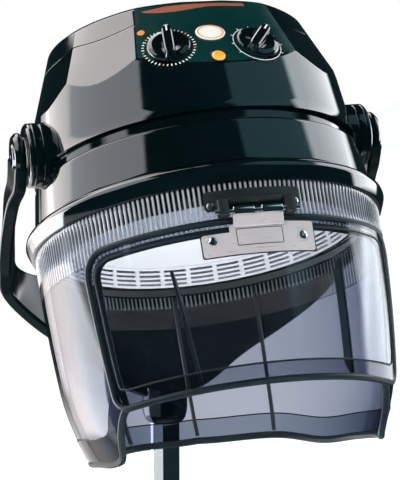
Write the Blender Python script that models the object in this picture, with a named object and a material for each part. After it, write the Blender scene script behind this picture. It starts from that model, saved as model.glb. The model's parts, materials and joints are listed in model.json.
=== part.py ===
"""Standing hood dryer: a tilting hood with a smoked visor, held by a fork on a telescopic castor stand.

Metres, +Z up, front of the hood towards -Y. The origin is on the floor, in the middle of the base's box.
Hood pieces are drawn around the hood's own axis, with the widest ring of the rim at height zero, and hang
from an empty that carries the tilt.
"""

import math

import bmesh
import bpy
from mathutils import Matrix, Vector

# Clearances
GAP = 0.0003
RUN = 0.0002
LOOSE = 0.0005

# Whole object
PIVOT_HEIGHT = 1.33
TILT = math.radians(33.8)
POLE_BEHIND = 0.1606
PIVOT_FORWARD = 0.0227
PIVOT_ABOVE = 0.0978
ROUND = 36
ROUND_MID = 16
ROUND_SMALL = 12

# Casings, in the hood's own frame: a cone from the rim up to a crease, a faceted crown above it
WALL = 0.003
RIM_R = 0.2085
RIM_LEVEL = 0.004
RIM_UNDER = -0.0105
RIM_LIP = -0.026
RIM_LIP_R = RIM_R - 0.0305
SEAM_LEVEL = 0.0155
SEAM_R = RIM_R - 0.0124
CONE_TAPER = 0.12
BAND_TOP = 0.0645
CASE_BOTTOM = 0.079
NECK_RISE = 0.005
NECK_LEAN = 0.42
CREASE_CORNERS = (31.0, 61.5)
TOP_CORNERS = (33.5, 64.0)
FRONT_STEPS = 8
CORNER_STEPS = 2
SIDE_STEPS = 6
# Level of the scalloped crease by its angle from the front
CREASE_LEVELS = [
    (0.0, 0.1330),
    (8.0, 0.1343),
    (15.5, 0.1380),
    (23.3, 0.1450),
    (31.0, 0.1540),
    (41.0, 0.1410),
    (46.0, 0.1395),
    (52.0, 0.1425),
    (61.5, 0.1570),
    (69.0, 0.1470),
    (76.0, 0.1430),
    (84.0, 0.1455),
    (95.0, 0.1545),
    (105.0, 0.1635),
    (118.5, 0.1700),
    (134.0, 0.1590),
    (149.0, 0.1700),
    (180.0, 0.1560),
]
TOP_LEVEL = 0.228
TOP_RISE = 0.008
# How far the top edge lies inside the casing's lower edge, by its angle from the front
TOP_INSETS = [
    (0.0, 0.0555),
    (17.0, 0.0537),
    (33.5, 0.0475),
    (49.0, 0.0453),
    (64.0, 0.0410),
    (77.0, 0.0375),
    (90.0, 0.0350),
    (104.0, 0.0340),
    (117.0, 0.0365),
    (132.0, 0.0425),
    (147.0, 0.0425),
    (164.0, 0.0475),
    (180.0, 0.0495),
]
CROWN_SHOULDER = 0.007
CROWN_INSET = 0.90
CROWN_LEVEL = 0.250
CROWN_FLAT_R = 0.050
VENT_COUNT = 5
VENT_LENGTH = 0.070
VENT_HEIGHT = 0.004
VENT_PITCH = 0.009
GLAND_R = 0.009
GLAND_HEAD_R = 0.013
GLAND_HEAD = 0.010
GLAND_BORE_R = 0.004

# Inner dome and its air ring
DOME_R = RIM_LIP_R - 0.005
DOME_BOTTOM = -0.015
DOME_RISE = 0.130
DOME_WALL = 0.002
AIR_RING_END = 11.0
SLOT_COLUMNS = 16
SLOT_ROWS = 3
SLOT_SHARE = 0.62

# Fan and heater
MOTOR_R = 0.036
MOTOR_LENGTH = 0.060
SHAFT_R = 0.004
BRACKET_WALL = 0.002
BRACKET_DEPTH = 0.030
IMPELLER_R = 0.070
IMPELLER_DEPTH = 0.026
IMPELLER_PLATE = 0.003
BLADES = 8
HEATER_R = 0.100
HEATER_WALL = 0.003
HEATER_HEIGHT = 0.022
ELEMENT_R = 0.0045
ELEMENT_CLEAR = 0.0020
CUTOUT_R = 0.008
CUTOUT_HEIGHT = 0.006
TERMINAL_SIZE = (0.040, 0.018, 0.016)
TAB_WIDTH = 0.030
TAB_REACH = 0.086

# Controls on the front facet
PANEL_THICK = 0.0012
PANEL_LIFT = 0.0007
PANEL_SPAN = (0.05, 0.95)
PANEL_COLUMNS = 8
PANEL_RISE = (0.03, 0.93)
PANEL_MIDDLE = 0.47
DIAL_APART = 0.268
DIAL_RISE = 0.234
KNOB_R = 0.0245
KNOB_BASE = 0.006
KNOB_BAR = (0.011, 0.045, 0.014)
KNOB_SHAFT_R = 0.003
UNIT_R = 0.022
UNIT_DEPTH = 0.034
UNIT_STANDOFF = 0.0014
LAMP_RISE = 0.075
LAMP_R = 0.0080
LAMP_HEIGHT = 0.004
LAMP_STEM_R = 0.004
BADGE_RISE = 0.46
BADGE_SIZE = (0.036, 0.021)
BADGE_THICK = 0.0015
BADGE_STANDOFF = 0.0002

# Skirt and visor flap
SKIRT_WALL = 0.0025
SKIRT_TOP_R = RIM_R - 0.0089
SKIRT_WAIST = -0.050
SKIRT_WAIST_R = SKIRT_TOP_R - 0.001
SKIRT_TAPER = 0.03
SKIRT_CURVE = 0.33
FLUTES = 40
FLUTE_DEPTH = 0.0012
FLUTE_TOP = -0.014
FLUTE_BOTTOM = -0.046
SKIRT_COLUMNS = 40
SKIRT_ROWS = 4
OPENING_COLUMNS = 6
OPENING_HALF = 54.5
OPENING_TOP = -0.0635
# Level of the skirt's lower hem by its angle from the front: a lobe on each side, high at the rear
HEM_LEVELS = [
    (0.0, -0.222),
    (54.5, -0.222),
    (57.0, -0.227),
    (60.0, -0.244),
    (64.0, -0.264),
    (70.0, -0.267),
    (90.0, -0.257),
    (111.0, -0.245),
    (129.0, -0.2365),
    (149.0, -0.216),
    (180.0, -0.208),
]
FLAP_WALL = 0.003
FLAP_CLEAR = 0.0018
FLAP_TOP = -0.0525
FLAP_BOTTOM = -0.2235
FLAP_HALF_TOP = 57.5
FLAP_HALF_BOTTOM = 56.0
FLAP_SHOULDER = 0.028
FLAP_CORNER = 0.016
FLAP_COLUMNS = 14
STRUT_WIDTH = 0.005
STRUT_DEPTH = 0.004
SKIRT_STRUTS_AT = (150.0, 180.0, 210.0, 0.0)
FLAP_STRUTS_AT = (-27.0, 27.0)
FLAP_STRUT_TOP = -0.0945
FLAP_STRUT_DEPTH = 0.008

# Visor hinge
HINGE_LEVEL = -0.0455
PIN_R = 0.003
PIN_HALF = 0.047
BARREL_R = 0.0055
LEAF = 0.0025
HINGE_OUT = SKIRT_TOP_R + LEAF + BARREL_R + 0.0008
BRACKET_HALF = 15.5
BRACKET_TOP = -0.026
BRACKET_LOW = -0.039
LUG_SPAN = (0.030, 0.043)
PLATE_HALF = 17.5
PLATE_TOP = -0.0577
PLATE_LOW = -0.092
PLATE_COLUMNS = 8

# Pivots and fork
BOSS_R = 0.037
BOSS_INNER = RIM_R - 0.0600
BOSS_OUTER = RIM_R - 0.0055
WASHER_R = 0.022
WASHER_THICK = 0.0016
BOLT_R = 0.008
BOLT_HEAD_R = 0.0125
BOLT_HEAD = 0.004
BOLT_INNER = BOSS_INNER + 0.017
CAP_R = 0.0155
CAP_HEIGHT = 0.0075
CAP_SINK = 0.006
FORK_THICK = 0.012
FORK_EYE = 0.027
FORK_FLARE = 0.009
FORK_EDGE = 0.0034
FORK_ACROSS = 2
# Below its eye the fork sweeps back: share of its full width, then behind and up at its rear and front edge
FORK_SWEEP = [
    (0.985, (0.045, -0.055), (0.006, -0.060)),
    (1.00, (0.075, -0.095), (0.034, -0.105)),
    (1.00, (0.100, -0.135), (0.060, -0.155)),
    (0.96, (0.125, -0.165), (0.088, -0.195)),
    (0.80, (0.155, -0.190), (0.095, -0.235)),
    (0.62, (0.180, -0.205), (0.108, -0.270)),
    (0.42, (0.198, -0.215), (0.128, -0.308)),
    (0.22, (0.206, -0.222), (0.142, -0.350)),
]
HUB_R = 0.029
HUB_LOW = -0.400
HUB_HIGH = -0.350
HUB_BORE_TOP = -0.358

# Stand
POLE_R = 0.019
POLE_WALL = 0.0018
POLE_LENGTH = 0.54
BUSH_WALL = 0.0033
SWIVEL_BUSH_LENGTH = 0.036
TUBE_R = 0.0245
TUBE_WALL = 0.003
TUBE_TOP = 0.720
TUBE_BUSH_LENGTH = 0.040
GUIDE_LENGTH = 0.030
COLLAR_R = 0.034
COLLAR_HEIGHT = 0.045
COLLAR_LIP = 0.006
CLAMP_DROP = 0.018
CLAMP_STEM_R = 0.0040
CLAMP_NECK = 0.012
CLAMP_KNOB_R = 0.022
CLAMP_KNOB_WIDTH = 0.020
CLAMP_LOBES = 5
LEG_COUNT = 5
LEG_REACH = 0.285
LEG_WIDTH = (0.054, 0.034)
LEG_HEIGHT = (0.048, 0.030)
STAR_HUB_R = 0.042
STAR_LOW = 0.076
STAR_HIGH = 0.134
STAR_FLOOR = 0.012
LEG_END_LOW = 0.0570
SOCKET_DEPTH = 0.024
COVER_HEIGHT = 0.034

# Castors
WHEEL_R = 0.025
WHEEL_SIDES = 12
WHEEL_WIDTH = 0.0165
WHEEL_SPACE = 0.0130
AXLE_R = 0.004
TRAIL = 0.016
FENDER_THICK = 0.003
FENDER_CLEAR = 0.0018
FENDER_FROM = -20.0
FENDER_TO = 205.0
WEB_THICK = 0.0090
CASTOR_STEPS = 7
STEM_R = 0.0055
STEM_LOW = 0.0487

PANEL_SEAT = PANEL_LIFT + PANEL_THICK + GAP
FORK_MID = BOSS_OUTER + WASHER_THICK + 2.0 * GAP + FORK_THICK / 2.0
FORK_SEAT = FORK_MID + FORK_THICK / 2.0 - CAP_SINK
WHEEL_CORNER_R = WHEEL_R / math.cos(math.pi / WHEEL_SIDES)

FINISHES = {
    "black_gloss": ((0.012, 0.016, 0.018), 0.12, 0.0),
    "black_satin": ((0.02, 0.021, 0.022), 0.4, 0.0),
    "smoke": ((0.30, 0.32, 0.37), 0.06, 0.0),
    "white": ((0.86, 0.87, 0.88), 0.35, 0.0),
    "panel": ((0.02, 0.045, 0.05), 0.25, 0.0),
    "orange": ((0.85, 0.30, 0.06), 0.2, 0.0),
    "cream": ((0.85, 0.82, 0.76), 0.3, 0.0),
    "chrome": ((0.75, 0.76, 0.78), 0.08, 1.0),
    "aluminium": ((0.70, 0.69, 0.69), 0.32, 1.0),
    "steel": ((0.45, 0.46, 0.47), 0.35, 1.0),
    "mica": ((0.62, 0.55, 0.42), 0.7, 0.0),
    "nylon": ((0.75, 0.74, 0.70), 0.5, 0.0),
    "tyre": ((0.05, 0.05, 0.055), 0.55, 0.0),
}


def clear_scene():
    for obj in list(bpy.data.objects):
        bpy.data.objects.remove(obj, do_unlink=True)


def finish_of(name):
    """The Principled material of one finish, made once."""
    if name in bpy.data.materials:
        return bpy.data.materials[name]
    colour, roughness, metallic = FINISHES[name]
    made = bpy.data.materials.new(name)
    made.use_nodes = True
    shader = made.node_tree.nodes["Principled BSDF"]
    shader.inputs["Base Color"].default_value = (*colour, 1.0)
    shader.inputs["Roughness"].default_value = roughness
    shader.inputs["Metallic"].default_value = metallic
    return made


def place(name, bm, finish, parent=None, location=(0, 0, 0), rotation=(0, 0, 0), sharp=35.0):
    """Turns a bmesh into a named object with its finish and shading."""
    bmesh.ops.recalc_face_normals(bm, faces=bm.faces)
    mesh = bpy.data.meshes.new(name)
    bm.to_mesh(mesh)
    bm.free()
    mesh.shade_smooth()
    mesh.set_sharp_from_angle(angle=math.radians(sharp))
    obj = bpy.data.objects.new(name, mesh)
    bpy.context.scene.collection.objects.link(obj)
    obj.data.materials.append(finish_of(finish))
    obj.parent = parent
    obj.location = location
    obj.rotation_euler = rotation
    return obj


def helper(name, bm, parent=None, location=(0, 0, 0), rotation=(0, 0, 0)):
    """A cutter or an added shape for a Boolean, left out of the build."""
    obj = place(name, bm, "black_satin", parent, location, rotation)
    obj.hide_render = True
    obj.display_type = "WIRE"
    return obj


def combine(obj, tool, operation):
    modifier = obj.modifiers.new(tool.name, "BOOLEAN")
    modifier.operation = operation
    modifier.object = tool


def empty(name, parent=None, location=(0, 0, 0), rotation=(0, 0, 0)):
    made = bpy.data.objects.new(name, None)
    bpy.context.scene.collection.objects.link(made)
    made.parent = parent
    made.location = location
    made.rotation_euler = rotation
    return made


def skin(bm, rings, closed=True, around=True):
    """Quads between successive rings of points. closed joins the last ring to the first."""
    verts = [[bm.verts.new(p) for p in points] for points in rings]
    pairs = list(zip(verts, verts[1:]))
    if closed:
        pairs.append((verts[-1], verts[0]))
    for low, high in pairs:
        count = len(low)
        for i in range(count if around else count - 1):
            j = (i + 1) % count
            bm.faces.new((low[i], low[j], high[j], high[i]))
    return verts


def circle(radius, level, count=ROUND, turn=0.0):
    step = 2.0 * math.pi / count
    return [
        (radius * math.cos(turn + i * step), radius * math.sin(turn + i * step), level)
        for i in range(count)
    ]


def turned(profile, count=ROUND, turn=0.0):
    """A ring-shaped solid: a closed outline of (radius, level) points turned about Z."""
    bm = bmesh.new()
    skin(bm, [circle(r, z, count, turn) for r, z in profile])
    return bm


def turned_rod(profile, count=ROUND_MID, turn=0.0):
    """A solid without a bore: an outline from its lower to its upper end, capped flat."""
    bm = bmesh.new()
    verts = skin(bm, [circle(r, z, count, turn) for r, z in profile], closed=False)
    bm.faces.new(verts[0][::-1])
    bm.faces.new(verts[-1])
    return bm


def box(size, centre=(0, 0, 0)):
    bm = bmesh.new()
    bmesh.ops.create_cube(bm, size=1.0)
    bmesh.ops.scale(bm, vec=Vector(size), verts=bm.verts)
    bmesh.ops.translate(bm, vec=Vector(centre), verts=bm.verts)
    return bm


def joined(parts):
    """Several separate shapes in one bmesh, for use as one Boolean tool."""
    whole = bmesh.new()
    for part in parts:
        mesh = bpy.data.meshes.new("part")
        bmesh.ops.recalc_face_normals(part, faces=part.faces)
        part.to_mesh(mesh)
        part.free()
        whole.from_mesh(mesh)
        bpy.data.meshes.remove(mesh)
    return whole


def extruded(outline, low, high):
    """A prism between two levels over a plan outline of (x, y) points."""
    bm = bmesh.new()
    verts = skin(bm, [[(x, y, z) for x, y in outline] for z in (low, high)], closed=False)
    bm.faces.new(verts[0][::-1])
    bm.faces.new(verts[1])
    return bm


def moved(bm, matrix):
    bmesh.ops.transform(bm, matrix=matrix, verts=bm.verts)
    return bm


def along_x(bm):
    """Lays a shape drawn about Z along the X axis."""
    return moved(bm, Matrix.Rotation(math.pi / 2.0, 4, "Y"))


def at_azimuth(radius, degrees, level):
    """A point of the hood, by its angle from the front, positive to the right."""
    angle = math.radians(degrees)
    return Vector((radius * math.sin(angle), -radius * math.cos(angle), level))


# The casing's faceted surface


def from_table(rows, azimuth):
    """Value at an angle from the front, between the rows of a table; both sides are alike."""
    away = abs((azimuth + 180.0) % 360.0 - 180.0)
    for (a1, v1), (a2, v2) in zip(rows, rows[1:]):
        if away <= a2:
            return v1 + (v2 - v1) * (away - a1) / (a2 - a1)
    return rows[-1][1]


def cone_radius(level):
    """Outer radius of the casing's cone."""
    return SEAM_R - CONE_TAPER * (level - SEAM_LEVEL)


def crease_point(azimuth):
    level = from_table(CREASE_LEVELS, azimuth)
    return at_azimuth(cone_radius(level), azimuth, level)


def top_point(azimuth):
    rise = TOP_RISE * (1.0 - math.cos(math.radians(azimuth))) / 2.0
    radius = cone_radius(CASE_BOTTOM) - from_table(TOP_INSETS, azimuth)
    return at_azimuth(radius, azimuth, TOP_LEVEL + rise)


def facet_azimuths(corners):
    """Angles of a facet ring's points, from the front facet's left corner round to it again."""
    front, side = corners
    turns = [-front, front, side, 180.0 - side, 180.0 - front]
    turns += [180.0 + front, 180.0 + side, 360.0 - side, 360.0 - front]
    steps = [FRONT_STEPS, CORNER_STEPS, SIDE_STEPS, CORNER_STEPS] * 2
    return [
        start + (end - start) * i / count
        for start, end, count in zip(turns, turns[1:], steps)
        for i in range(count)
    ]


def panel_point(span, rise):
    """A point of the front facet's outer surface: span runs left to right, rise from crease to top."""
    low = crease_point(CREASE_CORNERS[0] * (2.0 * span - 1.0))
    high = top_point(TOP_CORNERS[0] * (2.0 * span - 1.0))
    return low.lerp(high, rise)


def panel_normal(span, rise):
    nudge = 0.01
    across = panel_point(span + nudge, rise) - panel_point(span - nudge, rise)
    upward = panel_point(span, rise + nudge) - panel_point(span, rise - nudge)
    normal = across.cross(upward).normalized()
    return normal if normal.y < 0.0 else -normal


def panel_frame(span, rise, standoff):
    """Matrix of a control: its Z along the facet's normal, its Y up the facet."""
    normal = panel_normal(span, rise)
    across = Vector((0.0, 0.0, 1.0)).cross(normal).normalized()
    upward = normal.cross(across)
    frame = Matrix((across, upward, normal)).transposed().to_4x4()
    frame.translation = panel_point(span, rise) + normal * standoff
    return frame


def shrunk(points, inward, down):
    """A ring moved towards the axis and down, for the inner side of a wall."""
    made = []
    for p in points:
        radius = math.hypot(p[0], p[1])
        share = (radius - inward) / radius
        made.append((p[0] * share, p[1] * share, p[2] - down))
    return made


def upper_casing(hood):
    crease = [crease_point(a) for a in facet_azimuths(CREASE_CORNERS)]
    top = [top_point(a) for a in facet_azimuths(TOP_CORNERS)]
    foot_r = cone_radius(CASE_BOTTOM)
    skirted = [at_azimuth(foot_r, a, CASE_BOTTOM) for a in facet_azimuths(CREASE_CORNERS)]
    shoulder = [(p.x * CROWN_INSET, p.y * CROWN_INSET, p.z + CROWN_SHOULDER) for p in top]
    flat = []
    for p in top:
        share = CROWN_FLAT_R / math.hypot(p.x, p.y)
        flat.append((p.x * share, p.y * share, CROWN_LEVEL))
    outer = [skirted, crease, top, shoulder, flat]
    inner = [shrunk(skirted, WALL, 0.0), shrunk(crease, WALL, 0.0), shrunk(top, WALL, WALL)]
    inner += [shrunk(shoulder, WALL, WALL), shrunk(flat, WALL, WALL)]
    bm = bmesh.new()
    verts = skin(bm, inner[::-1] + outer, closed=False)
    bm.faces.new(verts[0][::-1])
    bm.faces.new(verts[-1])
    obj = place("upper_casing", bm, "black_gloss", hood, sharp=14.0)
    combine(obj, vent_cutter(hood), "DIFFERENCE")
    for side in (-1, 1):
        combine(obj, boss_cutter(hood, side), "DIFFERENCE")
    for name, at, radius in CONTROL_HOLES:
        combine(obj, control_cutter(hood, "case_" + name, at, radius), "DIFFERENCE")
    return obj


def vent_cutter(hood):
    """Air intake slots through the rear facet, one above another."""
    slots = []
    rear = crease_point(180.0)
    for i in range(VENT_COUNT):
        level = rear.z + (i + 1) * VENT_PITCH
        slots.append(box((VENT_LENGTH, 0.1, VENT_HEIGHT), (0.0, rear.y, level)))
    return helper("vent_slots", joined(slots), hood)


def boss_cutter(hood, side):
    reach = BOSS_OUTER - BOSS_INNER
    bm = along_x(turned_rod([(BOSS_R + GAP, -reach), (BOSS_R + GAP, reach)], ROUND_MID))
    at = (side * (BOSS_INNER + BOSS_OUTER) / 2.0, -PIVOT_FORWARD, PIVOT_ABOVE)
    return helper("boss_hole", bm, hood, at)


DIALS = {
    "timer": (PANEL_MIDDLE - DIAL_APART, DIAL_RISE),
    "heat": (PANEL_MIDDLE + DIAL_APART, DIAL_RISE),
}
LAMP_PLACE = (PANEL_MIDDLE, LAMP_RISE)
BADGE_PLACE = (PANEL_MIDDLE, BADGE_RISE)
CONTROL_HOLES = [
    ("timer_hole", DIALS["timer"], KNOB_SHAFT_R + LOOSE),
    ("heat_hole", DIALS["heat"], KNOB_SHAFT_R + LOOSE),
    ("lamp_hole", LAMP_PLACE, LAMP_STEM_R + GAP),
]


def control_cutter(hood, name, at, radius):
    depth = WALL * 3.0
    bm = moved(turned_rod([(radius, -depth), (radius, depth)], ROUND_SMALL), panel_frame(*at, 0.0))
    return helper(name, bm, hood)


def casing_flat(radius):
    """Least distance from the axis of a ring of the upper casing, in the middle of its widest step."""
    front, side = CREASE_CORNERS
    widest = max(
        2.0 * front / FRONT_STEPS,
        (side - front) / CORNER_STEPS,
        (180.0 - 2.0 * side) / SIDE_STEPS,
    )
    return radius * math.cos(math.radians(widest / 2.0))


def lower_casing(hood):
    band_r = cone_radius(BAND_TOP)
    neck_r = casing_flat(cone_radius(CASE_BOTTOM) - WALL) - LOOSE
    lip_r = neck_r - NECK_LEAN * NECK_RISE
    profile = [
        (SEAM_R, SEAM_LEVEL + GAP),
        (band_r, BAND_TOP),
        (neck_r, BAND_TOP),
        (neck_r, CASE_BOTTOM),
        (lip_r, CASE_BOTTOM + NECK_RISE),
        (lip_r - WALL, CASE_BOTTOM + NECK_RISE),
        (neck_r - WALL, BAND_TOP - WALL),
        (band_r - WALL, BAND_TOP - WALL),
        (SEAM_R - WALL, SEAM_LEVEL + GAP),
    ]
    obj = place("lower_casing", turned(profile), "black_gloss", hood, sharp=25.0)
    combine(obj, helper("gland_hole", gland_rod(GLAND_R + GAP, -0.03, 0.03), hood), "DIFFERENCE")
    for side in (-1, 1):
        combine(obj, boss_cutter(hood, side), "DIFFERENCE")
    return obj


def gland_rod(radius, start, end):
    """A rod out of the rear of the lower casing, through the middle of its band."""
    bm = turned_rod([(radius, start), (radius, end)], ROUND_MID)
    return moved(bm, gland_frame())


def gland_frame():
    level = (SEAM_LEVEL + BAND_TOP) / 2.0
    middle_r = cone_radius(level)
    lean = math.atan(CONE_TAPER)
    turn = Matrix.Rotation(-math.pi / 2.0 + lean, 4, "X")
    return Matrix.Translation((0.0, middle_r, level)) @ turn


def cable_gland(hood):
    profile = [
        (GLAND_R, -2.5 * WALL),
        (GLAND_R, GAP),
        (GLAND_HEAD_R, GAP),
        (GLAND_HEAD_R, GLAND_HEAD * 0.6),
        (GLAND_R * 0.8, GLAND_HEAD),
        (GLAND_BORE_R, GLAND_HEAD),
        (GLAND_BORE_R, -2.5 * WALL),
    ]
    place("cable_gland", moved(turned(profile, ROUND_SMALL), gland_frame()), "black_satin", hood)


def rim_ring(hood):
    """A flared channel that carries the casing, the skirt and the air ring."""
    lip_outer = RIM_LIP_R + WALL
    profile = [
        (SEAM_R, SEAM_LEVEL),
        (RIM_R - 0.0035, RIM_LEVEL + 0.006),
        (RIM_R, RIM_LEVEL),
        (RIM_R - 0.003, RIM_LEVEL - 0.007),
        (SKIRT_TOP_R + WALL, RIM_UNDER),
        (lip_outer, RIM_UNDER),
        (lip_outer, RIM_LIP),
        (RIM_LIP_R, RIM_LIP),
        (RIM_LIP_R, SEAM_LEVEL),
        (lip_outer, SEAM_LEVEL),
        (lip_outer, RIM_UNDER + WALL),
        (SKIRT_TOP_R, RIM_UNDER + WALL),
        (SEAM_R - WALL, SEAM_LEVEL),
    ]
    place("rim_ring", turned(profile), "black_gloss", hood, sharp=50.0)


# Inner dome


def dome_point(angle, azimuth, standoff=0.0):
    """A point on the dome: angle from its rim to its top, standoff along its outer normal."""
    across = math.cos(angle)
    upward = math.sin(angle)
    normal = Vector((across * DOME_RISE, upward * DOME_R)).normalized() * standoff
    radius = DOME_R * across + normal.x
    level = DOME_BOTTOM + DOME_RISE * upward + normal.y
    return radius * math.cos(azimuth), radius * math.sin(azimuth), level


def dome_level(radius):
    """Height of the dome's outer face at a radius."""
    angle = math.acos(radius / DOME_R)
    return dome_point(angle, 0.0, DOME_WALL)[2] + DOME_WALL * 0.6


def air_ring(hood):
    """The lower zone of the dome, pierced by rows of slots, with a flange against the rim."""
    columns = SLOT_COLUMNS * 2
    rows = SLOT_ROWS * 2 + 1
    bar = math.radians(AIR_RING_END) / (SLOT_ROWS * SLOT_SHARE + (SLOT_ROWS + 1) * (1 - SLOT_SHARE))
    angles = [0.0]
    for row in range(rows):
        angles.append(angles[-1] + bar * (SLOT_SHARE if row % 2 else 1 - SLOT_SHARE))
    pitch = 2.0 * math.pi / SLOT_COLUMNS
    turns = []
    for column in range(SLOT_COLUMNS):
        turns += [column * pitch, column * pitch + pitch * SLOT_SHARE]
    flange_r = RIM_LIP_R * math.cos(math.pi / ROUND) - GAP
    bm = bmesh.new()
    faces = {}
    for standoff in (0.0, DOME_WALL):
        grid = [[bm.verts.new(dome_point(a, t, standoff)) for t in turns] for a in angles]
        lip = DOME_BOTTOM + standoff
        flange = [
            bm.verts.new((flange_r * math.cos(t), flange_r * math.sin(t), lip)) for t in turns
        ]
        faces[standoff] = [flange] + grid
    inner, outer = faces[0.0], faces[DOME_WALL]
    for i in range(columns):
        j = (i + 1) % columns
        for side in (inner, outer):
            for row in range(rows + 1):
                if row % 2 == 0 and row > 0 and i % 2 == 0:
                    continue
                bm.faces.new((side[row][i], side[row][j], side[row + 1][j], side[row + 1][i]))
        bm.faces.new((inner[0][i], inner[0][j], outer[0][j], outer[0][i]))
        bm.faces.new((inner[-1][i], inner[-1][j], outer[-1][j], outer[-1][i]))
    for row in range(2, rows + 1, 2):
        for i in range(0, columns, 2):
            j = i + 1
            slot = [(row, i), (row, j), (row + 1, j), (row + 1, i)]
            for (r1, c1), (r2, c2) in zip(slot, slot[1:] + slot[:1]):
                bm.faces.new((inner[r1][c1], inner[r2][c2], outer[r2][c2], outer[r1][c1]))
    place("air_ring", bm, "white", hood, sharp=30.0)


def inner_dome(hood):
    steps = 5
    start = math.radians(AIR_RING_END) + GAP / DOME_RISE
    last = math.radians(86.0)
    angles = [start + (last - start) * i / steps for i in range(steps + 1)]
    count = SLOT_COLUMNS
    turns = [2.0 * math.pi * i / count for i in range(count)]
    inner = [[dome_point(a, t) for t in turns] for a in angles]
    outer = [[dome_point(a, t, DOME_WALL) for t in turns] for a in angles]
    bm = bmesh.new()
    verts = skin(bm, inner[::-1] + outer, closed=False)
    bm.faces.new(verts[0][::-1])
    bm.faces.new(verts[-1])
    place("inner_dome", bm, "white", hood)


# Fan and heater


CROWN_INSIDE = CROWN_LEVEL - WALL
BRACKET_TOP_LEVEL = CROWN_INSIDE - GAP
MOTOR_TOP = BRACKET_TOP_LEVEL - BRACKET_WALL - GAP
MOTOR_LOW = MOTOR_TOP - MOTOR_LENGTH
IMPELLER_TOP = MOTOR_LOW - 0.004


def motor_bracket(hood):
    """A cup under the crown that grips the motor, with a tab for the terminal block."""
    outer_r = MOTOR_R + GAP + BRACKET_WALL
    profile = [
        (outer_r, BRACKET_TOP_LEVEL - BRACKET_DEPTH),
        (outer_r, BRACKET_TOP_LEVEL),
    ]
    bm = turned_rod(profile, ROUND_MID)
    obj = place("motor_bracket", bm, "steel", hood)
    tab_level = BRACKET_TOP_LEVEL - BRACKET_DEPTH / 2.0
    tab = box(
        (TAB_REACH - outer_r + BRACKET_WALL, TAB_WIDTH, BRACKET_WALL),
        ((TAB_REACH + outer_r - BRACKET_WALL) / 2.0, 0.0, tab_level),
    )
    combine(obj, helper("bracket_tab", tab, hood), "UNION")
    cup = turned_rod([(MOTOR_R + GAP, MOTOR_LOW), (MOTOR_R + GAP, MOTOR_TOP + GAP)], ROUND_MID)
    combine(obj, helper("bracket_cup", cup, hood), "DIFFERENCE")


def terminal_block(hood):
    tab_under = BRACKET_TOP_LEVEL - (BRACKET_DEPTH + BRACKET_WALL) / 2.0
    size = (TERMINAL_SIZE[1], TERMINAL_SIZE[0], TERMINAL_SIZE[2])
    at = (TAB_REACH - size[0] / 2.0, 0.0, tab_under - GAP - size[2] / 2.0)
    place("terminal_block", box(size), "white", hood, at)


def fan_motor(hood):
    neck = MOTOR_R * 0.35
    profile = [
        (SHAFT_R, IMPELLER_TOP - IMPELLER_DEPTH),
        (SHAFT_R, MOTOR_LOW - 0.002),
        (neck, MOTOR_LOW - 0.002),
        (neck, MOTOR_LOW),
        (MOTOR_R * 0.92, MOTOR_LOW),
        (MOTOR_R, MOTOR_LOW + 0.004),
        (MOTOR_R, MOTOR_TOP),
    ]
    place("fan_motor", turned_rod(profile, ROUND_MID), "steel", hood)


def impeller(hood):
    bore = SHAFT_R + RUN
    hub = bore + 0.006
    low = IMPELLER_TOP - IMPELLER_DEPTH
    plate = IMPELLER_TOP - IMPELLER_PLATE
    profile = [
        (bore, IMPELLER_TOP),
        (bore, low),
        (hub, low),
        (hub, plate),
        (IMPELLER_R, plate),
        (IMPELLER_R, IMPELLER_TOP),
    ]
    obj = place("impeller", turned(profile, ROUND_MID), "nylon", hood)
    blades = []
    for i in range(BLADES):
        length = IMPELLER_R * 0.55
        depth = IMPELLER_DEPTH - IMPELLER_PLATE / 2.0
        blade = box((length, 0.002, depth), (0.0, 0.0, IMPELLER_TOP - IMPELLER_DEPTH + depth / 2.0))
        spread = Matrix.Rotation(2.0 * math.pi * i / BLADES, 4, "Z")
        lean = Matrix.Rotation(math.radians(35.0), 4, "Z")
        blades.append(moved(blade, spread @ Matrix.Translation((IMPELLER_R * 0.66, 0, 0)) @ lean))
    combine(obj, helper("impeller_blades", joined(blades), hood), "UNION")


def heater_frame(hood):
    low = dome_level(HEATER_R - HEATER_WALL / 2.0) + GAP
    profile = [
        (HEATER_R - HEATER_WALL / 2.0, low + HEATER_HEIGHT),
        (HEATER_R - HEATER_WALL / 2.0, low),
        (HEATER_R + HEATER_WALL / 2.0, low),
        (HEATER_R + HEATER_WALL / 2.0, low + HEATER_HEIGHT),
    ]
    place("heater_frame", turned(profile, ROUND_MID), "mica", hood)


def heater_element(hood):
    """A sheathed rod bent into an open ring round the heater frame."""
    low = dome_level(HEATER_R - HEATER_WALL / 2.0) + GAP
    radius = HEATER_R + HEATER_WALL / 2.0 + ELEMENT_CLEAR + ELEMENT_R
    level = low + HEATER_HEIGHT * 0.55
    steps = 16
    sides = 6
    rings = []
    for i in range(steps + 1):
        turn = math.radians(10.0 + 340.0 * i / steps)
        ring = []
        for k in range(sides):
            angle = 2.0 * math.pi * k / sides
            r = radius + ELEMENT_R * math.cos(angle)
            z = level + ELEMENT_R * math.sin(angle)
            ring.append((r * math.cos(turn), r * math.sin(turn), z))
        rings.append(ring)
    bm = bmesh.new()
    verts = skin(bm, rings, closed=False)
    bm.faces.new(verts[0])
    bm.faces.new(verts[-1])
    place("heater_element", bm, "steel", hood)


def thermal_cutout(hood):
    low = DOME_BOTTOM + DOME_RISE + DOME_WALL + GAP
    profile = [(CUTOUT_R, low), (CUTOUT_R, low + CUTOUT_HEIGHT)]
    place("thermal_cutout", turned_rod(profile, ROUND_MID), "steel", hood)


# Controls


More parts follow.
